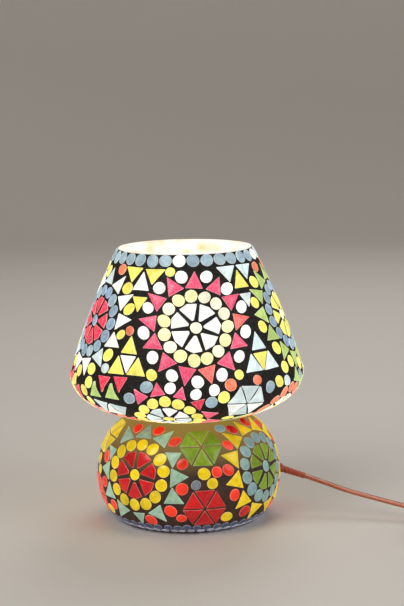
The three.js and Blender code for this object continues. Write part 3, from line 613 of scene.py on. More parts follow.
class Mosaic:
    """Glass tiles laid on a skin, each a flat bevelled piece with its own colour and glow."""

    def __init__(self, skin, seed, ends=(2.5, 2.5), keep_out=()):
        self.skin = skin
        self.rng = random.Random(seed)
        self.ends = ends
        self.keep_out = keep_out
        self.tiles = []
        self.verts, self.faces, self.tints, self.edges, self.glows = [], [], [], [], []

    def lay(self, az, s, outline, colour, gap=0.55, corner=0.7, glow=1.0):
        """Lays a tile whose outline is in mm about (az, s). Returns False where there is no room."""
        if any(not self.ends[0] < s + v < self.skin.length - self.ends[1] for _, v in outline):
            return False
        places = []
        for u, v in rounded(outline, corner, 2, keep_axis=False) if len(outline) < 8 else outline:
            r = self.skin.spot(s + v)[0]
            places.append((az + math.degrees(u / r), s + v))
        middle = (sum(p[0] for p in places) / len(places), sum(p[1] for p in places) / len(places))
        points = [self.skin.point(*p) for p in places]
        centre = self.skin.point(*middle)
        right, down, out = self.skin.axes(*middle)
        local = [((p - centre).dot(right), (p - centre).dot(down)) for p in points]
        # a flat tile's middle stands off the round skin, so it is sunk by part of what its edge lacks
        sunk = max(0.6 * sum((p - centre).dot(out) for p in points) / len(points), -SINK_MOST)
        size = max(math.hypot(*p) for p in local)
        if any((centre - spot).length < size * 0.8 + room for spot, room in self.keep_out):
            return False
        for other_centre, other_size, other_points in self.tiles:
            if (other_centre - centre).length > other_size + size + gap:
                continue
            seen = [((p - centre).dot(right), (p - centre).dot(down)) for p in other_points]
            if not apart(local, seen, gap):
                return False
        self.tiles.append((centre, size, points))
        self.build(centre, right, down, out, local, sunk, colour, glow)
        return True

    def build(self, centre, right, down, out, local, sunk, colour, glow):
        """Adds the tile's points and faces, with its own slight tilt, light and warmth."""
        rng = self.rng
        tilt_x, tilt_y = rng.uniform(-TILT_MOST, TILT_MOST), rng.uniform(-TILT_MOST, TILT_MOST)
        narrow = min(math.hypot(*p) for p in local)
        start, sides = len(self.verts), len(local)
        light = glow * rng.uniform(0.8, 1.08)
        warm = rng.uniform(-0.03, 0.03)
        tint = tuple(min(max(value * (1 + shift), 0), 1) for value, shift in zip(colour, (warm, 0, -warm)))
        for level, inset, edge in TILE_SECTION:
            scale = 1 - inset / narrow
            for x, y in local:
                x, y = x * scale, y * scale
                lift = sunk + level + x * tilt_x + y * tilt_y
                self.verts.append((centre + right * x + down * y + out * lift) * MM)
                self.edges.append(edge)
        self.verts.append((centre + out * (sunk + CROWN)) * MM)
        self.edges.append(0)
        count = len(self.verts) - start
        self.tints += [(*tint, 1)] * count
        self.glows += [light] * count
        for k in range(len(TILE_SECTION) - 1):
            for j in range(sides):
                a, b = start + k * sides, start + (k + 1) * sides
                n = (j + 1) % sides
                self.faces.append((a + n, a + j, b + j, b + n))
        crown = start + count - 1
        top = crown - sides
        self.faces += [(top + (j + 1) % sides, top + j, crown) for j in range(sides)]
        self.faces.append(tuple(start + j for j in range(sides)))

    def squeeze(self, az, s, outline, colour, gap=0.5, scales=(1, 0.9, 0.8), nudge=1.4):
        """Lays a tile at or close to its place, cut down a little where it has to be."""
        middle = Vector((sum(p[0] for p in outline), sum(p[1] for p in outline))) / len(outline)
        shifts = [(0, 0)] + [(r * math.cos(a), r * math.sin(a)) for r in (0.5, 1) for a in NUDGE_ANGLES]
        for scale in scales:
            small = [
                (middle.x + (u - middle.x) * scale, middle.y + (v - middle.y) * scale) for u, v in outline
            ]
            for x, y in shifts:
                if self.lay(az, s, [(u + x * nudge, v + y * nudge) for u, v in small], colour, gap):
                    return

    # motifs
    def pick(self, tones):
        return tones[self.rng.randrange(len(tones))]

    def dot(self, az, s, colour, radius=4.6, gap=0.45):
        self.squeeze(az, s, dot_outline(radius, self.rng), colour, gap)

    def triangle(self, az, s, colour, width=12.5, height=12, angle=0.0, du=0.0, dv=0.0, nudge=1.4):
        shape = jittered(triangle_outline(width, height), 0.35, self.rng)
        self.squeeze(az, s, turn_shift(shape, angle, du, dv), colour, 0.5, (1, 0.92, 0.84, 0.76), nudge)

    def around(self, count, radius, start):
        """The angle and the shift, right and down, of count copies on a circle."""
        for k in range(count):
            angle = start + TAU * k / count
            yield angle, radius * math.sin(angle), -radius * math.cos(angle)

    def dot_ring(self, az, s, count, radius, colours, size, start=0.0, nudge=0.8):
        for _, du, dv in self.around(count, radius, start):
            tone = self.pick(colours)
            shape = turn_shift(dot_outline(size * self.rng.uniform(0.94, 1.03), self.rng), 0, du, dv)
            self.squeeze(az, s, shape, tone, 0.25, nudge=nudge)

    def triangle_ring(self, az, s, count, radius, colours, width, height, start=0.0, nudge=1.4):
        for angle, du, dv in self.around(count, radius, start):
            tone = self.pick(colours)
            lean = angle + self.rng.uniform(-0.07, 0.07)
            self.triangle(az, s, tone, width, height, lean, du, dv, nudge)

    def flower(self, az, s, hub, petals, count, inner, outer, fill, start):
        """A hub dot inside a ring of wedge petals, each as wide as fill of its share."""
        self.dot(az, s, hub, 4.1)
        for k in range(count):
            angle = start + TAU * k / count
            half = math.pi / count * fill
            shape = jittered(wedge_outline(inner, outer, half), 0.3, self.rng)
            self.lay(az, s, turn_shift(shape, angle), self.pick(petals), 0.4)

    def hexagon(self, az, s, colours, radius, start=0.0, glow=1.0):
        """Six triangles that meet at their points."""
        half = math.pi / 6 * 0.93
        wide, high = radius * math.sin(half), -radius * math.cos(half)
        for k in range(6):
            shape = jittered([(0, -1.1), (wide, high), (-wide, high)], 0.25, self.rng)
            shape = turn_shift(shape, start + TAU * k / 6)
            self.lay(az, s, shape, self.pick(colours), 0.35, 0.5, glow)

    def fill(self, low, high, colours, sizes, tries):
        """Dots, and now and then a triangle, wherever they still fit."""
        for _ in range(tries):
            az = self.rng.uniform(-180, 180)
            s = self.rng.uniform(low, high)
            colour = self.rng.choice(colours)
            if self.rng.random() < 0.4:
                shape = jittered(triangle_outline(FILLER_SIDE, FILLER_SIDE * 0.95), 0.3, self.rng)
                self.lay(az, s, turn_shift(shape, self.rng.uniform(0, TAU)), colour, 0.7)
                continue
            for size in sizes:
                if self.lay(az, s, dot_outline(size, self.rng), colour, 0.7):
                    break

    def object(self, name, material):
        """All the tiles as one mesh; the material reads each one's tint, edge and glow."""
        mesh = bpy.data.meshes.new(name)
        mesh.from_pydata(self.verts, [], self.faces)
        tint = mesh.attributes.new("tint", "FLOAT_COLOR", "POINT")
        tint.data.foreach_set("color", [value for row in self.tints for value in row])
        for key, values in (("edge", self.edges), ("glow", self.glows)):
            mesh.attributes.new(key, "FLOAT", "POINT").data.foreach_set("value", values)
        finish_piece(shaded(name, mesh, 65), material, name)


# colours of the tiles
WHITE = ink(255, 255, 250)
ICE = ink(213, 232, 234)
CREAM = ink(255, 250, 214)
PALE_YELLOW = ink(255, 248, 172)
YELLOW = ink(255, 240, 98)
PINK = ink(238, 70, 112)
CORAL = ink(244, 104, 96)
ORANGE = ink(248, 122, 78)
RED = ink(238, 34, 72)
STEEL = ink(144, 170, 182)
LAVENDER = ink(131, 160, 184)
GREEN = ink(178, 206, 110)
GOLD = ink(232, 200, 0)
RUBY = ink(192, 8, 14)
FLAME = ink(240, 52, 22)
OLIVE = ink(118, 148, 30)
SAGE = ink(152, 187, 162)
PALE_BLUE = ink(126, 158, 158)
GREY = ink(112, 118, 124)
FOOT_REFLECTION_LAVENDER = ink(140, 140, 162)
FOOT_BLUE = ink(52, 62, 96)

RIM_S, RIM_DOTS = 5.2, 33
WHITE_RIM_DOTS = (0, 7, 19)
# five medallions round the shade, with gaps between them, and as many flowers underneath
MEDALLION_AZ, GAP_AZ, SECTOR = 6, -30, 72
MEDALLION_S, UNDER_S = 53.5, 126


def lay_shade(mosaic):
    """The rim's dots, the medallions with their rings, and the clusters of triangles between them."""
    for k in range(RIM_DOTS):
        tone = WHITE if k in WHITE_RIM_DOTS else STEEL if mosaic.rng.random() < 0.85 else ICE
        mosaic.dot(-4 + k * 360 / RIM_DOTS, RIM_S, tone, 4.65, gap=0.1)
    looks = [
        # hub, petals, petal count, ring, triangles, outer dots
        (CREAM, [WHITE], 7, [CREAM, PALE_YELLOW], [PINK, PINK, CORAL], [WHITE]),
        (CREAM, [YELLOW], 8, [LAVENDER, STEEL], [GREEN], [YELLOW]),
        (STEEL, [ORANGE, CORAL], 7, [YELLOW], [ICE, WHITE], [STEEL]),
        (YELLOW, [GREEN], 8, [WHITE, ICE], [PINK, RED], [ORANGE]),
        (LAVENDER, [RED], 8, [STEEL, LAVENDER], [WHITE, ICE], [YELLOW]),
    ]
    for k, (hub, petals, count, ring, triangles, _) in enumerate(looks):
        az = MEDALLION_AZ + SECTOR * k
        mosaic.flower(az, MEDALLION_S, hub, petals, count, 5.4, 17.2, 0.86, 0.6 + k)
        mosaic.dot_ring(az, MEDALLION_S, 15, 22.6, ring, 4.55, 0.1 * k - 0.09)
        mosaic.triangle_ring(az, MEDALLION_S, 13, 32.2, triangles, 12.6, 13, 0.02)
    clusters = [(YELLOW, WHITE), (ICE, YELLOW), (PINK, CREAM), (YELLOW, GREEN), (WHITE, RED)]
    for k, (outer, inner) in enumerate(clusters):
        az = GAP_AZ + SECTOR * k
        for side in (-1, 1):
            mosaic.triangle(az, 14.9, outer, 15, 11.8, math.pi, 8.3 * side - 1.2)
            mosaic.triangle(az, 83, outer, 14.8, 13, 0, 8.2 * side - 0.8)
        mosaic.triangle(az, 22.8, inner, 13.6, 13.6, 0, -0.8)
        mosaic.triangle(az, 35, outer, 14.6, 13.4, math.pi, -0.8)
        mosaic.triangle(az, 68, outer, 14, 13, 0, -0.8)
        mosaic.triangle(az, 79.6, inner, 13, 12.6, math.pi, -0.8)
        beside = [(-24.2, 12.5, ORANGE), (-26.2, 23, YELLOW), (18.2, 13.5, YELLOW)]
        if k % 2:
            beside = [(-14.1, 18.2, STEEL), (22.6, 15, ORANGE), (29, 20.5, YELLOW)]
        for shift, s, tone in beside:
            mosaic.dot(az + shift, s, tone, 4.4)
        mosaic.dot(az - 1.6, 57.5, [ORANGE, YELLOW][k % 2], 4.4)
        mosaic.dot(az - 2.6, 48, YELLOW, 4.4)
    for k, (*_, outer) in enumerate(looks):
        az = MEDALLION_AZ + SECTOR * k
        mosaic.dot_ring(az, MEDALLION_S, 13, 37.4, outer, 4.6, 0.02 + math.pi / 13, 1.5)


def lay_shade_below(mosaic):
    """Round the shade's edge and in underneath, then what fits into the spaces that are left."""
    gap_triangles = [(-13.4, 94, RED, math.pi), (-3.2, 92.8, RED, math.pi)]
    gap_triangles += [(-19.3, 102, GREEN, 0), (-7.6, 101.6, GREEN, 0)]
    rims = []
    for k in range(5):
        az = MEDALLION_AZ - 16 + SECTOR * k
        petals = [[WHITE, ICE], [CREAM], [ICE], [YELLOW], [WHITE]][k]
        ring, triangles = [([YELLOW], [RED, PINK]), ([ORANGE], [GREEN])][k in (1, 3)]
        mosaic.flower(az, UNDER_S, YELLOW, petals, 8, 5.2, 15.6, 0.88, 0.2)
        mosaic.dot_ring(az, UNDER_S, 14, 21, ring, 4.5)
        rims.append((az, triangles))
        if k in (0, 2, 4):
            for shift, s, tone, angle in gap_triangles:
                mosaic.triangle(GAP_AZ + SECTOR * k + shift, s, tone, 12.4, 11.6, angle)
        mosaic.hexagon(MEDALLION_AZ + 24.4 + SECTOR * k, 110, [ICE, WHITE], 15.2, 0.1, 0.82)
    front = [
        (-7.4, 93.4, WHITE), (2.9, 90, WHITE), (4.5, 98.2, WHITE), (12.5, 96.2, WHITE),
        (16, 87.2, WHITE), (-18.8, 94.6, STEEL), (-27.6, 103.9, STEEL), (12, 105, STEEL),
        (25.7, 87, YELLOW), (20.4, 94.3, ORANGE), (18.1, 103.6, YELLOW), (51.9, 86, ORANGE),
        (57.5, 88, YELLOW), (50.1, 97.2, YELLOW), (56.6, 99.5, ICE), (43.4, 99.9, STEEL),
        (-51.2, 83.3, YELLOW), (-63.6, 90.5, YELLOW), (-53.6, 95.5, YELLOW), (-70.6, 96.5, YELLOW),
        (-59.2, 103.7, YELLOW), (-68.7, 105.2, YELLOW), (-47.4, 113.8, YELLOW),
        (-38.3, 111.2, YELLOW), (62.1, 100.5, YELLOW), (55.9, 110.6, YELLOW), (47.6, 109.1, STEEL),
        (27.5, 17.5, STEEL),
    ]
    for az, s, tone in front:
        mosaic.dot(az, s, tone, 4.5)
    mosaic.triangle(-2.6, 100.8, PINK, 12.5, 11.5, 0.25, nudge=2.5)
    for az, triangles in rims:
        mosaic.triangle_ring(az, UNDER_S, 12, 29.6, triangles, 12, 11.2, 0.3, 3.2)
    palette = [YELLOW, YELLOW, WHITE, STEEL, ORANGE, GREEN, ICE, YELLOW]
    mosaic.fill(10, 84, [YELLOW, WHITE, STEEL, YELLOW], (4.4, 3.9), 900)
    mosaic.fill(84, 158, palette, (4.5, 4.1, 3.7), 3600)


BASE_FLOWERS = (-34.6, 57.4, 149, -123)
BASE_GAPS = (9.6, 103.2, -167, -78.8)
BASE_FLOWER_S = 43.5
FOOT_DOTS = 52
# the upper foot row is dark blue; the lower, paler lavender row paints that row's reflection in a glossy
# table, laid as tiles
FOOT_ROWS = ((2, 90.2, FOOT_REFLECTION_LAVENDER), (5.5, 84.4, FOOT_BLUE))


def lay_base(mosaic):
    """The foot's dark row and the paler row under it, a painted table reflection; hexagons, four flowers
    with their rings, and dots between them.
    """
    looks = [
        # hub, petals, petal count, ring, triangles, outer dots
        (GOLD, [RUBY], 7, [GOLD], [SAGE], [FLAME]),
        (PALE_BLUE, [OLIVE], 8, [PALE_BLUE], [GOLD], [FLAME, RUBY]),
        (GOLD, [FLAME], 7, [SAGE], [GOLD], [PALE_BLUE]),
        (RUBY, [GOLD], 8, [FLAME], [OLIVE], [PALE_BLUE]),
    ]
    for k in range(FOOT_DOTS):
        for az, s, tone in FOOT_ROWS:
            mosaic.dot(az + k * 360 / FOOT_DOTS, s, tone, 3.1, gap=0.1)
    for k, az in enumerate(BASE_GAPS):
        mosaic.hexagon(az, 21.6, [[OLIVE], [GOLD]][k % 2], 15.4)
        mosaic.hexagon(az + 0.5, 66.5, [[RUBY], [FLAME]][k % 2], 15.6)
    mosaic.triangle(-9.8, 28.4, SAGE, 12, 11.5, math.pi)
    turns = (-0.05, -0.16, 0.15, 0.2)
    for az, turn, (hub, petals, count, ring, triangles, outer) in zip(BASE_FLOWERS, turns, looks):
        mosaic.flower(az, BASE_FLOWER_S, hub, petals, count, 5.4, 16.8, 0.84, 0.4)
        mosaic.dot_ring(az, BASE_FLOWER_S, 14, 22.2, ring, 4.75, 0.03)
        mosaic.triangle_ring(az, BASE_FLOWER_S, 12, 32, triangles, 13.6, 13, turn, 3)
        mosaic.dot_ring(az, BASE_FLOWER_S, 12, 36.6, outer, 4.6, turn + math.pi / 12, 1.5)
    for az in BASE_GAPS:
        for side in (-1, 1):
            mosaic.triangle(az + 30 * side, 9, GOLD, 15, 13, math.pi)
            mosaic.triangle(az + 44 * side, 8, GOLD, 15, 13, 0)
        extra = [
            (-8.6, 41.2, SAGE), (0.4, 41.1, GOLD), (8.8, 39.9, FLAME), (15.6, 44.8, FLAME),
            (-4.9, 50, GREY), (5.3, 49.6, GOLD), (-13.2, 36.5, FLAME), (-13.2, 51.5, FLAME),
            (15.8, 59.2, FLAME), (21, 8, PALE_BLUE), (26.8, 15, FLAME), (-19.2, 18.2, FLAME),
            (18.1, 28.2, RUBY), (15.6, 75.3, GOLD), (-17, 63, FLAME), (-15, 73, FLAME),
            (27.8, 75.4, FLAME),
        ]
        for shift, s, tone in extra:
            mosaic.dot(az + shift, s, tone, 4.5)
    palette = [FLAME, GOLD, SAGE, RUBY, GOLD, PALE_BLUE, OLIVE]
    mosaic.fill(4, 82, palette, (4.5, 4.1, 3.7), 3000)


HAZE_LEVEL = 0.42
HAZE_RISE = (0.045, 0.078)  # heights in metres between which the haze on the base grows


def grout_material(name, colour, worn, haze=None):
    """Sandy grout; haze is the warm light that the lit shade throws on the top of the base."""
    material, tree, shader = principled(name, colour, 0.72)
    drift = spread(tree, place_noise(tree, 90, 5), 0, 1)
    gloss = spread(tree, place_noise(tree, 600, 3), 0.5, 0.9)
    give(tree, shader, Base_Color=blend_colours(tree, drift, colour, worn), Roughness=gloss)
    bump(tree, shader, place_noise(tree, 700, 4, 0.65), 0.8, 0.25)
    if haze:
        axes = new_node(tree, "SeparateXYZ", Vector=own_place(tree))
        rise = spread(tree, axes.outputs["Z"], 0, 1, *HAZE_RISE)
        lit = blend_colours(tree, rise, (0, 0, 0), haze)
        give(tree, shader, Emission_Color=lit, Emission_Strength=HAZE_LEVEL)
    return material


def grout_skin(part, skin, material, low, high):
    """The grout that the tiles stand in, kept between two heights so that it ends level."""
    outer, inner = (
        [(r, min(max(z, low), high)) for r, z in inset_line(skin.line, depth)]
        for depth in (GROUT_BELOW, GROUT_DEEP)
    )
    piece = turned(f"{part}_grout", outer + inner[::-1], 192)
    finish_piece(piece, material, f"{part}_tiles", f"{part}_mosaic")


def make_coats():
    shade = Skin(SHADE_SIDE, SHADE_UNDERSIDE)
    tiles = Mosaic(shade, 11, ends=(0.4, 1.5))
    lay_shade(tiles)
    lay_shade_below(tiles)
    tiles.object("shade_tiles", tile_material("shade_tile_glass", 1.08, 0.4, 0.26, 0.3))
    base = Skin(BASE_SHOULDER, BASE_FOOT)
    tiles = Mosaic(base, 23, ends=(1.5, 2.0), keep_out=[(BOOT_ROOT, 5.6)])
    lay_base(tiles)
    tiles.object("base_tiles", tile_material("base_tile_glass", 0.62, 0.85, 0.03, 0.18))

    grout_skin("shade", shade, grout_material("shade_grout", ink(11, 8, 5), ink(22, 15, 9)), 0, 199)
    brown = grout_material("base_grout", ink(56, 38, 28), ink(84, 60, 42), ink(214, 176, 84))
    grout_skin("base", base, brown, 0.62, 200)


# ---- smooth copies of CAD pieces
def cad_outline(node):
    """The outline, in mm, of a CAD piece that is turned about Z: a thin slice of it, walked round."""
    shape = bmesh.new()
    shape.from_mesh(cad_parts[node].data)
    bmesh.ops.remove_doubles(shape, verts=shape.verts, dist=1e-6)
    for normal, outer in (((-0.01, 1, 0), True), ((1, 0.01, 0), False)):
        everything = shape.verts[:] + shape.edges[:] + shape.faces[:]
        bmesh.ops.bisect_plane(shape, geom=everything, plane_no=normal, clear_inner=True, clear_outer=outer)
    ends = [v for v in shape.verts if len(v.link_edges) == 1]
    here = ends[0] if ends else shape.verts[:][0]
    seen, outline = {here}, []
    while here:
        outline.append((0 if len(here.link_edges) == 1 else here.co.xy.length / MM, here.co.z / MM))
        here = next((e.other_vert(here) for e in here.link_edges if e.other_vert(here) not in seen), None)
        seen.add(here)
    shape.free()
    kept = []
    for i, point in enumerate(outline):
        before = Vector(point) - Vector(outline[i - 1])
        after = Vector(outline[(i + 1) % len(outline)]) - Vector(point)
        if point[0] == 0 or abs(before.cross(after)) > 0.01 * before.length * after.length:
            kept.append(point)
    return kept


def turned_again(node, material, slot, edge, sides=96, body="lamp"):
    """A turned CAD piece made again with more sides and round corners."""
    piece = turned(node + "_round", rounded(cad_outline(node), edge), sides)
    finish_piece(piece, material, slot, node, body=body)


def softened(node, material, slot, edge, body="lamp"):
    """The CAD piece's own shape with its edges rounded off."""
    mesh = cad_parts[node].data.copy()
    mesh.materials.clear()
    shape = bmesh.new()
    shape.from_mesh(mesh)
    bmesh.ops.remove_doubles(shape, verts=shape.verts, dist=1e-6)
    bmesh.ops.dissolve_limit(shape, angle_limit=0.02, verts=shape.verts, edges=shape.edges)
    sharp = [e for e in shape.edges if len(e.link_faces) == 2 and e.calc_face_angle() > 0.6]
    cut = {"offset": edge * MM, "segments": 2, "profile": 0.6, "clamp_overlap": True}
    bmesh.ops.bevel(shape, geom=sharp, affect="EDGES", **cut)
    shape.to_mesh(mesh)
    shape.free()
    return finish_piece(shaded(node + "_soft", mesh, 35), material, slot, node, body=body)


# ---- glasses
GLASS_OUT, GLASS_IN = 3.3, 6.3
NECK_R, NECK_BORE = 35, 32
# how many of the outline's last points the flat foot takes the place of, outside and inside
FOOT_CUT_OUT, FOOT_CUT_IN = 2, 6


def make_glasses():
    """Two blown glasses, each an outer and an inner line joined by its lip, neck or foot."""
    shade = SHADE_SIDE + SHADE_UNDERSIDE[1:]
    lip = [(42.5, 199.2), (42.9, 199.8), (44, 200), (47.2, 200), (48.2, 199.8), (48.5, 199.4), (48.2, 199.1)]
    neck = [(NECK_R, 79.6), (NECK_R, 78.4), (NECK_BORE, 78.4), (NECK_BORE, 82.15)]
    outline = lip + inset_line(shade, GLASS_OUT) + neck + inset_line(shade, GLASS_IN)[::-1]
    look = glowing_glass("shade_glass_frosted", ink(255, 251, 240), ink(236, 212, 158), 0.8, 11)
    finish_piece(turned("shade_glass_smooth", outline, 128), look, "clear_glass", "shade_glass")

    base = BASE_SHOULDER + BASE_FOOT[1:]
    neck = [(NECK_BORE, 73.05), (NECK_BORE, 76.8), (NECK_R, 76.8), (NECK_R, 75.6)]
    foot = [(47.8, 3.9), (47.6, 0.8), (46.6, 0), (0, 0), (0, 4), (43.2, 4)]
    outside = inset_line(base, GLASS_OUT)[:-FOOT_CUT_OUT]
    inside = inset_line(base, GLASS_IN)[:-FOOT_CUT_IN]
    outline = neck + outside + foot + inside[::-1]
    look = worked_surface("base_glass", ink(214, 196, 158), ink(196, 170, 128), 0.2, 60, 0.05)
    finish_piece(turned("base_glass_smooth", outline, 128), look, "clear_glass", "base_glass")


# ---- fitting in the neck and bulb
def make_bulb(nickel, black_glass, solder):
    """A frosted golf-ball bulb with a threaded cap."""
    middle, radius, wall = 138.3, 22.5, 0.8
    ball_from = math.radians(34)  # up to here from straight down the neck takes the ball's place
    neck = bezier((7.2, 106.6), (7.4, 112), (9.5, 117.4), (12.58, 119.65), steps=12)

    def inside(depth):
        reach = radius - depth
        angles = [ball_from + (math.pi - ball_from) * k / 28 for k in range(1, 28)]
        ball = [(reach * math.sin(a), middle - reach * math.cos(a)) for a in angles]
        return [(p.x - depth, p.y) for p in neck] + ball + [(0, middle + reach)]

    look = glowing_glass("bulb_glass_frosted", ink(255, 248, 230), ink(255, 236, 200), 0.72, 30, 0.3)
    glass = turned("bulb_glass_smooth", inside(0) + inside(wall)[::-1])
    finish_piece(glass, look, "bulb_glass", "bulb_glass", body="bulb")

    # screw cap: rounded threads between a plain collar and the tapering end
    low, high, reach = 86.6, 106.2, 6.9
    pitch, deep, thread_from, thread_run, steps = 2.82, 0.32, 1.6, 15.4, 96
    threads = []
    for k in range(steps + 1):
        z = low + thread_from + thread_run * k / steps
        threads.append((reach - deep + deep * math.cos(TAU * (z - low) / pitch), z))
    outline = [(reach - 2.7, low), (reach - 0.6, low + 0.9)] + threads + [(reach, high - 1.6), (reach, high)]
    outline += [(reach - 1.1, high), (reach - 1.1, low + 1.6), (reach - 2.7, low + 0.7)]
    finish_piece(turned("bulb_cap_threaded", outline, 64), nickel, "nickel", "bulb_cap", body="bulb")
    turned_again("bulb_contact", solder, "solder", 0.2, 32, body="bulb")
    turned_again("bulb_insulator", black_glass, "black_glass", 0.2, 48, body="bulb")


TURNED_PARTS = (
    # CAD piece, look, slot, edge radius
    ("holder_shell", "holder", "white_plastic", 0.5),
    ("holder_cap", "holder", "white_plastic", 0.5),
    ("holder_core", "porcelain", "porcelain", 0.3),
    ("cord_grip", "holder", "white_plastic", 0.3),
    ("socket_thread", "brass", "brass", 0.15),
    ("neck_gasket_upper", "rubber", "rubber", 0.3),
    ("neck_gasket_lower", "rubber", "rubber", 0.3),
    ("neck_washer", "rubber", "rubber", 0.2),
)


def make_fitting(looks):
    """The lampholder and the clamp that holds the two glasses together."""
    for node, look, slot, edge in TURNED_PARTS:
        turned_again(node, looks[look], slot, edge)
    for node in ("spider_plate", "clamp_yoke"):
        softened(node, looks["zinc"], "zinc_steel", 0.25)
    for side in ("left", "right"):
        softened(f"clamp_screw_{side}", looks["screw"], "screw_steel", 0.2)
        softened(f"clamp_nut_{side}", looks["screw"], "screw_steel", 0.2)
    make_ring(looks["holder"])


def make_ring(material):
    """The threaded ring that holds the plate on the lampholder, with grip flutes round it."""
    low, high, inner, outer = 88.1, 93.1, 14.1, 19.0
    flutes, sides = 30, 240
    section = [(inner, low), (inner, high), (outer - 1.2, high), (outer - 0.3, high - 0.6)]
    section += [(outer, high - 1.3), (outer, low + 0.9), (outer - 0.4, low)]
    deep, grip = 0.55, outer - 0.35  # the flutes run where the section is wider than grip
    verts = []
    for r, z in section:
        for j in range(sides):
            angle = TAU * j / sides
            dent = deep * max(0, math.cos(flutes * angle)) ** 2 if r > grip else 0
            verts.append(mm((r - dent) * math.cos(angle), (r - dent) * math.sin(angle), z))
    piece = new_object("shade_ring_fluted", verts, rings_to_faces(len(section), sides, closed=True))
    finish_piece(piece, material, "white_plastic", "shade_ring")


# ---- switch and plug
SWITCH_X = 261
SWITCH_HALF, SWITCH_HALF_WIDTH, SWITCH_CORNER = 31, 12, 7
SLOT_HALF, SLOT_HALF_WIDTH, SLOT_CORNER = 10.6, 4.9, 1.2
PLUG_X, PLUG_Y, PLUG_Z = 209, 22, 6.95  # where the cord enters the plug
PIN_X = 9.3  # from the plug's middle


def lozenge(half_x, half_y, corner, sides=64):
    """A rectangle with round corners, its points spread evenly in angle round each corner."""
    points = []
    quarter = sides // 4
    for k in range(sides):
        turn = k // quarter
        angle = math.pi / 2 * (turn + (k % quarter) / (quarter - 1))
        cx = (half_x - corner) * (1 if turn in (0, 3) else -1)
        cy = (half_y - corner) * (1 if turn in (0, 1) else -1)
        points.append((cx + corner * math.cos(angle), cy + corner * math.sin(angle)))
    return points


def switch_shell(name, replaced, rings, plastic):
    """Half of the case: a closed skin over rings, each an (outline, height) pair."""
    verts = [mm(SWITCH_X + x, y, z) for outline, z in rings for x, y in outline]
    piece = new_object(name, verts, rings_to_faces(len(rings), len(rings[0][0])), 45)
    return finish_piece(piece, plastic, "switch_plastic", replaced)


def make_switch(plastic, dark, steel):
    """The inline switch; returns the two halves of its case, which the cord carries."""

    def shell(inset):
        return lozenge(SWITCH_HALF_WIDTH - inset, SWITCH_HALF - inset, SWITCH_CORNER - inset)

    def slot(grow):
        return lozenge(SLOT_HALF_WIDTH + grow, SLOT_HALF + grow, SLOT_CORNER + grow)

    base = [(shell(1.4), 0.1), (shell(0.5), 0.4), (shell(0.1), 1.1), (shell(0), 2), (shell(0), 6.9)]
    base += [(shell(0.25), 7.35), (shell(0.6), 7.4)]
    tray = switch_shell("switch_base_shell", "switch_base", base, plastic)
    cover = [(shell(0.6), 7.7), (shell(0.25), 7.75), (shell(0), 8.2), (shell(0), 12)]
    cover += [(shell(0.3), 13.3), (shell(0.95), 14.3), (shell(2), 14.95), (shell(3.6), 15.2)]
    cover += [(slot(1.1), 15.2), (slot(0.5), 15.05), (slot(0.1), 14.6), (slot(0), 14), (slot(0), 10.2)]
    lid = switch_shell("switch_cover_shell", "switch_cover", cover, plastic)
    softened("switch_rocker", dark, "rocker_plastic", 0.5, "rocker")
    for side in ("front", "back"):
        softened(f"switch_screw_{side}", steel, "screw_steel", 0.15)
    return [tray, lid]


def plug_piece(name, rings, shift=0):
    """A skin over rings across the plug, each a (distance from the cord, outline) pair."""
    verts = [mm(PLUG_X + shift + x, PLUG_Y - far, PLUG_Z + z) for far, outline in rings for x, z in outline]
    return new_object(name, verts, rings_to_faces(len(rings), len(rings[0][1])), 50)


def make_plug(plastic, pin_metal):
    """A flat two-pin plug: a ribbed neck that widens into a body with rounded shoulders."""
    stations = [(0, 3.4, 2.6), (0.5, 4.2, 3.4)]
    for k in range(4):
        here = 1.2 + 2.1 * k
        wide = 4.7 + 0.75 * k
        tall = 3.9 + 0.55 * k
        stations += [(here, wide, tall), (here + 0.9, wide + 0.2, tall + 0.1)]
        stations += [(here + 1.2, wide - 0.4, tall - 0.4), (here + 1.8, wide - 0.3, tall - 0.35)]
    stations += [(10.2, 9.4, 6.1), (11.6, 11.3, 6.6), (13, 12.4, 6.8), (15, 12.9, 6.84), (24, 12.6, 6.7)]
    stations += [(31, 12.9, 6.84), (34, 12.9, 6.84), (35.1, 12.5, 6.5), (35.5, 11.8, 5.9)]
    rings = [(far, lozenge(wide, tall, min(wide, tall) * 0.72)) for far, wide, tall in stations]
    body = plug_piece("plug_body_moulded", rings)
    pieces = [finish_piece(body, plastic, "white_plastic", "plug_body")]
    profile = [(34.6, 1.98), (45, 1.98), (45.1, 1.86), (53.2, 1.86), (54, 1.6), (54.4, 1.1), (54.5, 0.4)]
    angles = [TAU * j / 24 for j in range(24)]
    rings = [(far, [(r * math.cos(a), r * math.sin(a)) for a in angles]) for far, r in profile]
    for name, shift in (("left", PIN_X), ("right", -PIN_X)):
        pin = plug_piece(f"plug_pin_{name}_round", rings, shift)
        pieces.append(finish_piece(pin, pin_metal, "pin_nickel", f"plug_pin_{name}"))
    return pieces


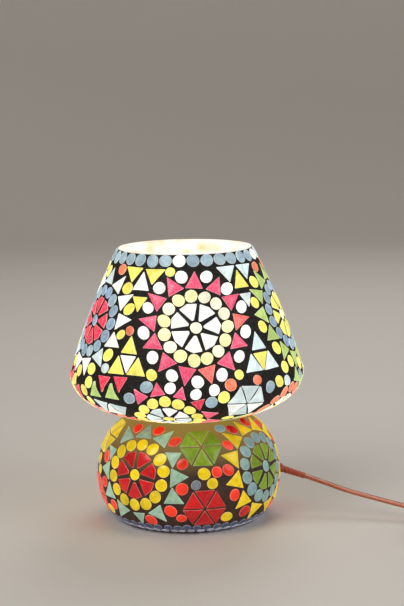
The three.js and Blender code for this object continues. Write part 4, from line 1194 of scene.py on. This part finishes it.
LOOKS = {
    # material, colour, worn colour, roughness, scale of the mottling, grain in mm, metallic
    "holder": ("holder_plastic", (238, 234, 222), (233, 228, 214), 0.42, 90, 0.02),
    "porcelain": ("porcelain", (244, 242, 236), (232, 228, 218), 0.25, 150, 0.01),
    "brass": ("brass", (214, 172, 92), (184, 140, 70), 0.32, 260, 0.01, 1.0),
    "rubber": ("rubber", (44, 41, 39), (60, 56, 53), 0.8, 200, 0.04),
    "zinc": ("zinc_plate", (200, 202, 205), (172, 176, 182), 0.36, 180, 0.02, 1.0),
    "screw": ("screw_steel", (190, 190, 192), (160, 160, 166), 0.3, 300, 0.01, 1.0),
    "nickel": ("nickel_cap", (206, 202, 194), (190, 185, 176), 0.28, 160, 0.004, 1.0),
    "solder": ("solder", (188, 188, 190), (160, 160, 164), 0.45, 500, 0.05, 1.0),
    "black_glass": ("black_glass", (34, 32, 36), (22, 20, 24), 0.2, 200, 0.01),
    "switch": ("switch_plastic", (232, 228, 216), (227, 222, 208), 0.4, 90, 0.03),
    "rocker": ("rocker_plastic", (208, 203, 190), (196, 190, 174), 0.35, 260, 0.02),
    "tie": ("tie_plastic", (36, 36, 38), (52, 52, 54), 0.5, 400, 0.04),
    "tungsten": ("tungsten", (255, 214, 150), (255, 190, 110), 0.5, 500, 0.01, 1.0),
    "brown_core": ("core_brown", (120, 74, 46), (104, 62, 38), 0.45, 500, 0.02),
    "blue_core": ("core_blue", (60, 96, 170), (48, 80, 150), 0.45, 500, 0.02),
    "boot": ("strain_relief_rubber", (200, 100, 66), (176, 80, 50), 0.5, 300, 0.03),
}


def make_looks():
    return {
        key: worked_surface(name, ink(*colour), ink(*worn), *rest)
        for key, (name, colour, worn, *rest) in LOOKS.items()
    }


def finish_hidden_nodes(looks, cord_look):
    """Materials for the CAD pieces that keep their own shape, inside the lamp and the switch."""
    kept = {
        "brass": ["centre_contact", "terminal_live", "terminal_neutral", "switch_contact", "switch_leaf"],
        "screw": ["terminal_screw_live", "terminal_screw_neutral", "rocker_pin"],
        "nickel": ["bulb_wire_left", "bulb_wire_right"],
        "porcelain": ["bulb_stem"],
        "tungsten": ["bulb_filament"],
        "brown_core": ["core_live"],
        "blue_core": ["core_neutral"],
    }
    pairs = [(node, looks[key]) for key, nodes in kept.items() for node in nodes]
    for node, look in pairs + [("inner_cord", cord_look)]:
        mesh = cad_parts[node].data
        mesh.materials.clear()
        mesh.materials.append(look)


make_camera()
make_floor()
make_lights()
looks = make_looks()
cord_look = cord_material()
boot = make_boot(looks["boot"])
tie = softened("coil_tie", looks["tie"], "tie_black", 0.2)
switch = make_switch(looks["switch"], looks["rocker"], looks["screw"])
plug = make_plug(looks["holder"], looks["nickel"])
make_cords(cord_look)
make_coats()
make_glasses()
make_fitting(looks)
make_bulb(looks["nickel"], looks["black_glass"], looks["solder"])
finish_hidden_nodes(looks, cord_look)
